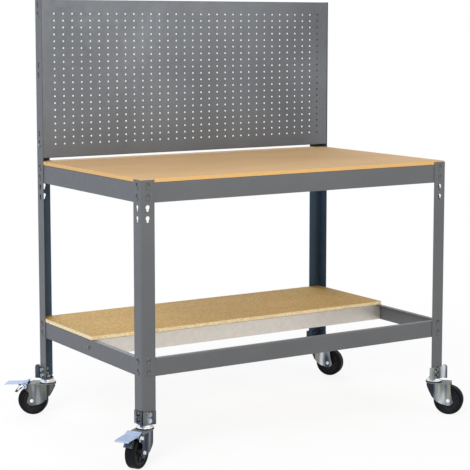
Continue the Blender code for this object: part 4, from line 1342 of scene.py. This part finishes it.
@dataclass
class SwivelCaster(SubAssembly):
    """A swivel caster: race cap, kingpin, folded fork, wheel, axle and, on the left corners, a brake.

    Its own x runs along the trail and its z up the kingpin, from the floor. The heights of the
    pedal's corners are measured from the crown's top.
    """

    corner: Corner
    crown_top: float = 0.1132
    crown: float = 0.003
    crown_half: float = 0.0285
    crown_rear: float = 0.061
    crown_corner: float = 0.005
    skirt: float = 0.1061
    waist: Point = (-0.0027, 0.0611)
    knee: Point = (0.0133, 0.0461)
    toe: Point = (0.0281, 0.0394)
    wall_half: float = 0.0255
    sheet: float = 0.0025
    painted_shade_reach: float = 0.002
    lug: float = 0.0175
    trail: float = 0.053
    radius: float = 0.0515
    axle: float = 0.004
    nut_seat: float = 0.1318
    pin_x: float = 0.075
    pin_drop: float = 0.010
    pin: float = 0.003
    play: float = 0.0005
    spokes: int = 5
    pedal_sheet: float = 0.002
    pedal_half: float = 0.025
    pedal_corner: float = 0.0025
    lip: float = 0.0044
    lip_bend: float = 0.004
    lip_turn: float = 46.0
    kink_bend: float = 0.009
    bend_lead: float = 0.001
    cheek: float = 0.006
    pedal_root: Point = (0.067, 0.0070)
    pedal_kink: Point = (0.088, -0.0008)
    pedal_tip: Point = (0.148, -0.0034)
    coil_turns: int = 4
    coil_radius: float = 0.0046
    coil_wire: float = 0.0009
    strap_path: tuple[Point, ...] = (
        (0.1150, 0.1088), (0.1035, 0.1093), (0.0985, 0.0995), (0.1100, 0.0885), (0.1152, 0.0805),
        (0.1080, 0.0785), (0.1015, 0.0885), (0.0918, 0.0952),
    )
    pad_path: tuple[Point, ...] = ((0.09853, 0.08837), (0.09273, 0.09237))

    def build(self) -> None:
        """Make the whole caster."""
        steps = [self.bearing, self.fork, self.wheel]
        if self.corner.braked:
            steps += [self.pedal, self.spring, self.brake]
        for step in steps:
            step()

    def settle(
        self, form: Form, name: str, body: str, node: str, *finishes: Material, slot: Slot = Slot.ZINC,
        bevel: float = 0.0, steps: int = 2,
    ) -> None:
        """Put a form in its place and make it a piece of this caster.

        Args:
            form: The form in the caster's own frame.
            name: The piece's name, after the corner's.
            body: The body that it rides: the frame, or a body named after the corner.
            node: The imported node's name, after the corner's, or nothing where it stands for none.
            finishes: The piece's materials.
            slot: Its material slot.
            bevel: The width of its bevels.
            steps: How many flats its bevels have.
        """
        label = self.corner.label
        spot = self.plan.at_corner(self.corner) @ Vector((KINGPIN_INSET, KINGPIN_INSET, 0))
        form.placed(Matrix.Translation(spot) @ turn("Z", self.corner.heading))
        rides = body if body == "frame" else f"{label}_{body}"
        nodes = (f"{label}_{node}",) if node else ()
        Piece(f"{label}_{name}", rides, slot, nodes, bevel, steps).settle(form, *finishes)

    def bearing(self) -> None:
        """Make the race cap and the kingpin, which stay with the bench."""
        low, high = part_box(f"{self.corner.label}_race_cap")
        rim = [(KINGPIN_BORE, 0.0), (0.0262, 0.0), (0.0280, 0.0004), (0.0285, 0.0010), (0.0285, 0.0022)]
        rim += [(0.0279, 0.0030), (0.0276, 0.0040), (KINGPIN_BORE, 0.0040)]
        dish = [(KINGPIN_BORE, 0.0040), (0.0276, 0.0040), (0.0266, 0.0056), (0.0240, 0.0070), (0.0216, 0.0100)]
        rise = high.z - low.z
        dish += [(0.0210, rise - 0.0008), (0.0200, rise), (KINGPIN_BORE, rise)]
        # Painted highlight and shade: the dish takes the near-white zinc and the rim the near-black one
        form = Form().turned(dish, 64, looped=True).plain()
        form.add(Form().turned(rim, 64, looped=True).plain(1)).placed(shift(0, 0, low.z))
        self.settle(form, "upper_race", "frame", "race_cap", self.finishes.bright_zinc_with_highlight, self.finishes.painted_shade_round_zinc)

        low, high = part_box(f"{self.corner.label}_kingpin")
        head = self.crown_top - self.crown - SEAT_GAP
        pin = Form().turned([
            (0, low.z), (0.0062, low.z), (0.0085, low.z + 0.0008), (0.009, low.z + 0.0018),
            (0.009, head), (0.005, head), (0.005, high.z + 0.0016), (0.0042, high.z + 0.0024), (0, high.z + 0.0024),
        ], 32)
        pin.add(HexFastener(0.0095, 0, 0.005, 0).ring(self.nut_seat, high.z - self.nut_seat))
        self.settle(pin, "king_bolt", "frame", "kingpin", self.finishes.zinc)

    def front_edge(self, x: float) -> float:
        """Return the height of the fork's lower edge, in front of the knee, at a place along the trail."""
        near, far = (self.waist, self.knee) if x > self.waist[0] else ((-self.crown_half, self.skirt), self.waist)
        return near[1] + (far[1] - near[1]) * (x - near[0]) / (far[0] - near[0])

    def leg_points(self) -> list[Point]:
        """Return one leg's edge from the round front's foot, round the axle lug, to the crown's rear.

        Returns:
            Points as (along the trail, height).
        """
        points = [(0.0, self.front_edge(0.0)), self.knee, self.toe]
        points += arc((self.trail, self.radius), self.lug, 250, 352, 14)
        root = self.crown_top - self.crown
        if self.corner.braked:
            points += [(0.0668, 0.0600), (0.0634, 0.0690), (0.0626, 0.0760), (0.0655, 0.0822), (0.0745, 0.0892)]
            return points + arc((0.0757, 0.1000), 0.0082, -55, 60, 7) + [(self.crown_rear + 0.004, root)]
        points += [(0.0672, 0.0600), (0.0640, 0.0740), (0.0620, 0.0880), (0.0612, 0.0990)]
        return points + [(self.crown_rear, root)]

    def fork(self) -> None:
        """Make the fork, a sheet wrapped round the front under a crown plate, and the axle."""
        wrap = (self.wall_half - self.sheet / 2) * math.pi
        leg = self.leg_points()
        bends = [math.pi * step / 24 for step in range(1, 24)]
        front = [(wrap * a / math.pi, self.front_edge(-self.wall_half * math.sin(a))) for a in bends]
        end, top = leg[-1][0], self.crown_top - self.crown / 2
        near, far = [(-x, z) for x, z in reversed(leg)], [(wrap + x, z) for x, z in leg]
        spots = [(self.trail, self.radius, self.axle + self.play)]
        if self.corner.braked:
            spots.append((self.pin_x, self.crown_top - self.pin_drop, self.pin + self.play * 0.8))
        holes = [circle((place, z), radius, 20) for x, z, radius in spots for place in (-x, wrap + x)]
        form = Form().sheet([(-end, top), *near, *front, *far, (wrap + end, top)], self.sheet, holes)
        form.fold(0, 0.0, 1, self.wall_half, 180, 24)
        form.placed(upright(0, self.wall_half, facing=1, along=-1)).plain()
        # Painted shade and reflection: on every caster but the front left one, the round front takes the near-black
        # zinc bands
        if self.corner is not Corner.FRONT_LEFT:
            for face in form.mesh.faces:
                if face.calc_center_median().x < self.painted_shade_reach:
                    face.material_index = 1
        cut, rear = self.crown_corner, self.crown_rear - self.crown_corner
        crown = arc((0, 0), self.crown_half, 90, 270, 24) + arc((rear, cut - self.crown_half), cut, -90, 0, 4)
        crown += arc((rear, self.crown_half - cut), cut, 0, 90, 4)
        plate = Form().sheet(crown, self.crown, [circle((0, 0), KINGPIN_BORE, 24)])
        form.add(plate.plain(2), shift(0, 0, self.crown_top))
        # Painted shade: the left forks' legs take the darker zinc copy
        legs = self.finishes.shaded_zinc if self.corner.side < 0 else self.finishes.zinc
        finishes = (legs, self.finishes.painted_shade_round_zinc, self.finishes.crown_zinc)
        self.settle(form, "swivel_fork", "caster", "fork", *finishes, bevel=0.0007, steps=3)

        across = self.wall_half + SEAT_GAP
        bolt = HexFastener(0.0058, 0.0040, self.axle, 0.0038, 0.0005, 1.08).form(2 * across, 0.0008)
        bolt.add(Form().turned([(0, 0), (self.axle, 0), (self.axle, 2 * across), (0, 2 * across)], 20))
        bolt.placed(shift(self.trail, across, self.radius) @ turn("X", 90))
        # The axle's near-white zinc is partly a painted highlight
        self.settle(bolt, "axle", "caster", "axle_bolt", self.finishes.bright_zinc_with_highlight)

    def wheel(self) -> None:
        """Make the tyre and the hub."""
        lie = shift(self.trail, 0, self.radius) @ turn("X", 90)
        tread = self.radius
        half = [(0.0380, 0.0145), (0.0394, 0.0151), (0.0410, 0.0161), (0.0426, 0.0167)]
        half += [(0.0432, 0.0161), (0.0438, 0.0167), *arc((tread - 0.0055, 0.0114), 0.0055, 82, 8, 7)]
        half += [(tread, 0.0105), (tread, 0.0042), (tread - 0.0004, 0.0036), (tread, 0.0030)]
        form = Form().turned(half + [(r, -y) for r, y in reversed(half)], 96, looped=True).placed(lie)
        self.settle(form, "tread", "wheel", "tyre", self.finishes.rubber, slot=Slot.RUBBER)
        side = [
            (0.0045, 0.0227), (0.0118, 0.0227), (0.0130, 0.0217), (0.0138, 0.0150), (0.0152, 0.0105), (0.0175, 0.0092),
            (0.0305, 0.0092), (0.0330, 0.0104), (0.0342, 0.0142), (0.0350, 0.0148), (0.038 - SEAT_GAP, 0.0145),
        ]
        form = Form().turned([(r, -y) for r, y in side] + side[::-1], 96, looped=True)
        for spoke in range(self.spokes):
            for flip in (180, 0):
                rib = Form().sheet(rounded((0.0135, -0.0022), (0.0335, 0.0022), 0.0008), 0.0042)
                form.add(rib, turn("Z", 360 / self.spokes * spoke) @ turn("X", flip) @ shift(0, 0, 0.0130))
        self.settle(form.plain().placed(lie), "wheel_hub", "wheel", "hub", self.finishes.hub, slot=Slot.MOULDED)

    def to_pin(self) -> Matrix:
        """Return the matrix whose z runs along the pedal's pin."""
        return shift(self.pin_x, 0, self.crown_top - self.pin_drop) @ turn("X", 90)

    def pedal(self) -> None:
        """Make the pedal with its cheeks and pin."""
        corners = (self.pedal_root, self.pedal_kink, self.pedal_tip)
        root, kink, tip = (Vector((x, self.crown_top + z)) for x, z in corners)
        first, second = kink - root, tip - kink
        slope, gentle = math.atan2(-first.y, first.x), math.atan2(-second.y, second.x)
        bend, length = first.length, first.length + second.length
        outline = rounded((0, -self.pedal_half), (length + self.lip, self.pedal_half), self.pedal_corner)
        form = Form().sheet(outline, self.pedal_sheet)
        form.fold(0, length - self.bend_lead, 1, self.lip_bend, self.lip_turn, 4)
        form.fold(0, bend - self.bend_lead, 1, self.kink_bend, math.degrees(slope - gentle), 4, upward=True)
        form.placed(shift(root.x, 0, root.y) @ turn("Y", math.degrees(slope)))
        cheek = [(root.x + 0.0005, root.y - 0.0016)]
        cheek += arc((self.pin_x, self.crown_top - self.pin_drop), self.cheek, 170, 300, 8)
        cheek += [(kink.x, kink.y - 0.0046), (kink.x, kink.y - 0.0014)]
        cheek_y = self.wall_half - self.sheet - 0.001
        for spot in (self.pedal_sheet - cheek_y, cheek_y):
            form.add(Form().sheet(cheek, self.pedal_sheet), upright(0, spot, facing=1))
        end, thin = self.wall_half + 0.002, self.pin * 0.7
        half = [(self.pin, end - 0.0008), (thin, end), (0, end)]
        form.add(Form().turned([(r, -z) for r, z in reversed(half)] + half, 20), self.to_pin())
        self.settle(form.plain(), "foot_pedal", "pedal", "brake_pedal", self.finishes.pedal_zinc, bevel=0.0005)

    def spring(self) -> None:
        """Make the coil spring that lifts the pedal."""
        start, pitch = -self.wall_half - 0.0012, 2.2 * self.coil_wire
        ring = arc((0, 0), self.coil_radius, 0, 360 * self.coil_turns, 16 * self.coil_turns)
        coil = [Vector((x, y, start - pitch * step / 16)) for step, (x, y) in enumerate(ring)]
        coil = [coil[0] + Vector((0.0030, -0.0100, 0)), *coil, coil[-1] + Vector((0.0165, 0.0030, 0))]
        form = Form().swept(coil, self.coil_wire).placed(self.to_pin())
        # The spring's near-white zinc is partly a painted highlight
        self.settle(form, "pedal_spring", "pedal", "", self.finishes.bright_zinc_with_highlight)

    def brake(self) -> None:
        """Make the strap, looped back over the tread, and the pad that it carries."""
        strap = Form().strap(self.strap_path, 0.0016, 0.014)
        # The strap takes the darker zinc copy: painted shade
        self.settle(strap, "brake_strap", "pedal", "", self.finishes.shaded_zinc, bevel=0.0004)
        pad = Form().strap(self.pad_path, 0.002, 0.012)
        self.settle(pad, "brake_block", "pedal", "brake_shoe", self.finishes.rubber, slot=Slot.RUBBER)


def main() -> None:
    """Build the whole scene in order."""
    logging.basicConfig(level=logging.INFO, format="%(name)s: %(message)s")
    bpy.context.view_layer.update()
    plan = BenchPlan.read()
    PhotoCamera(plan.centre + Vector((-2.7490, -4.3350, 1.3582))).build()
    Studio().build()
    finishes = Finishes()
    posts, beams = AnglePost(plan, finishes), RivetedBeam(plan, finishes)
    for corner in Corner:
        posts.build(corner)
    for level in Level:
        for edge in Edge:
            beams.build(edge, level)
    Board().build("worktop", True, finishes.worktop)
    Board().build("shelf", False, finishes.shelf)
    ShelfRail(plan, finishes).build()
    Pegboard(plan, finishes).build()
    adaptors = CasterAdaptor(plan, finishes)
    for corner in Corner:
        adaptors.build(corner)
        SwivelCaster(plan, finishes, corner).build()
    LOG.info("the bench is dressed")


if __name__ == "__main__":
    main()
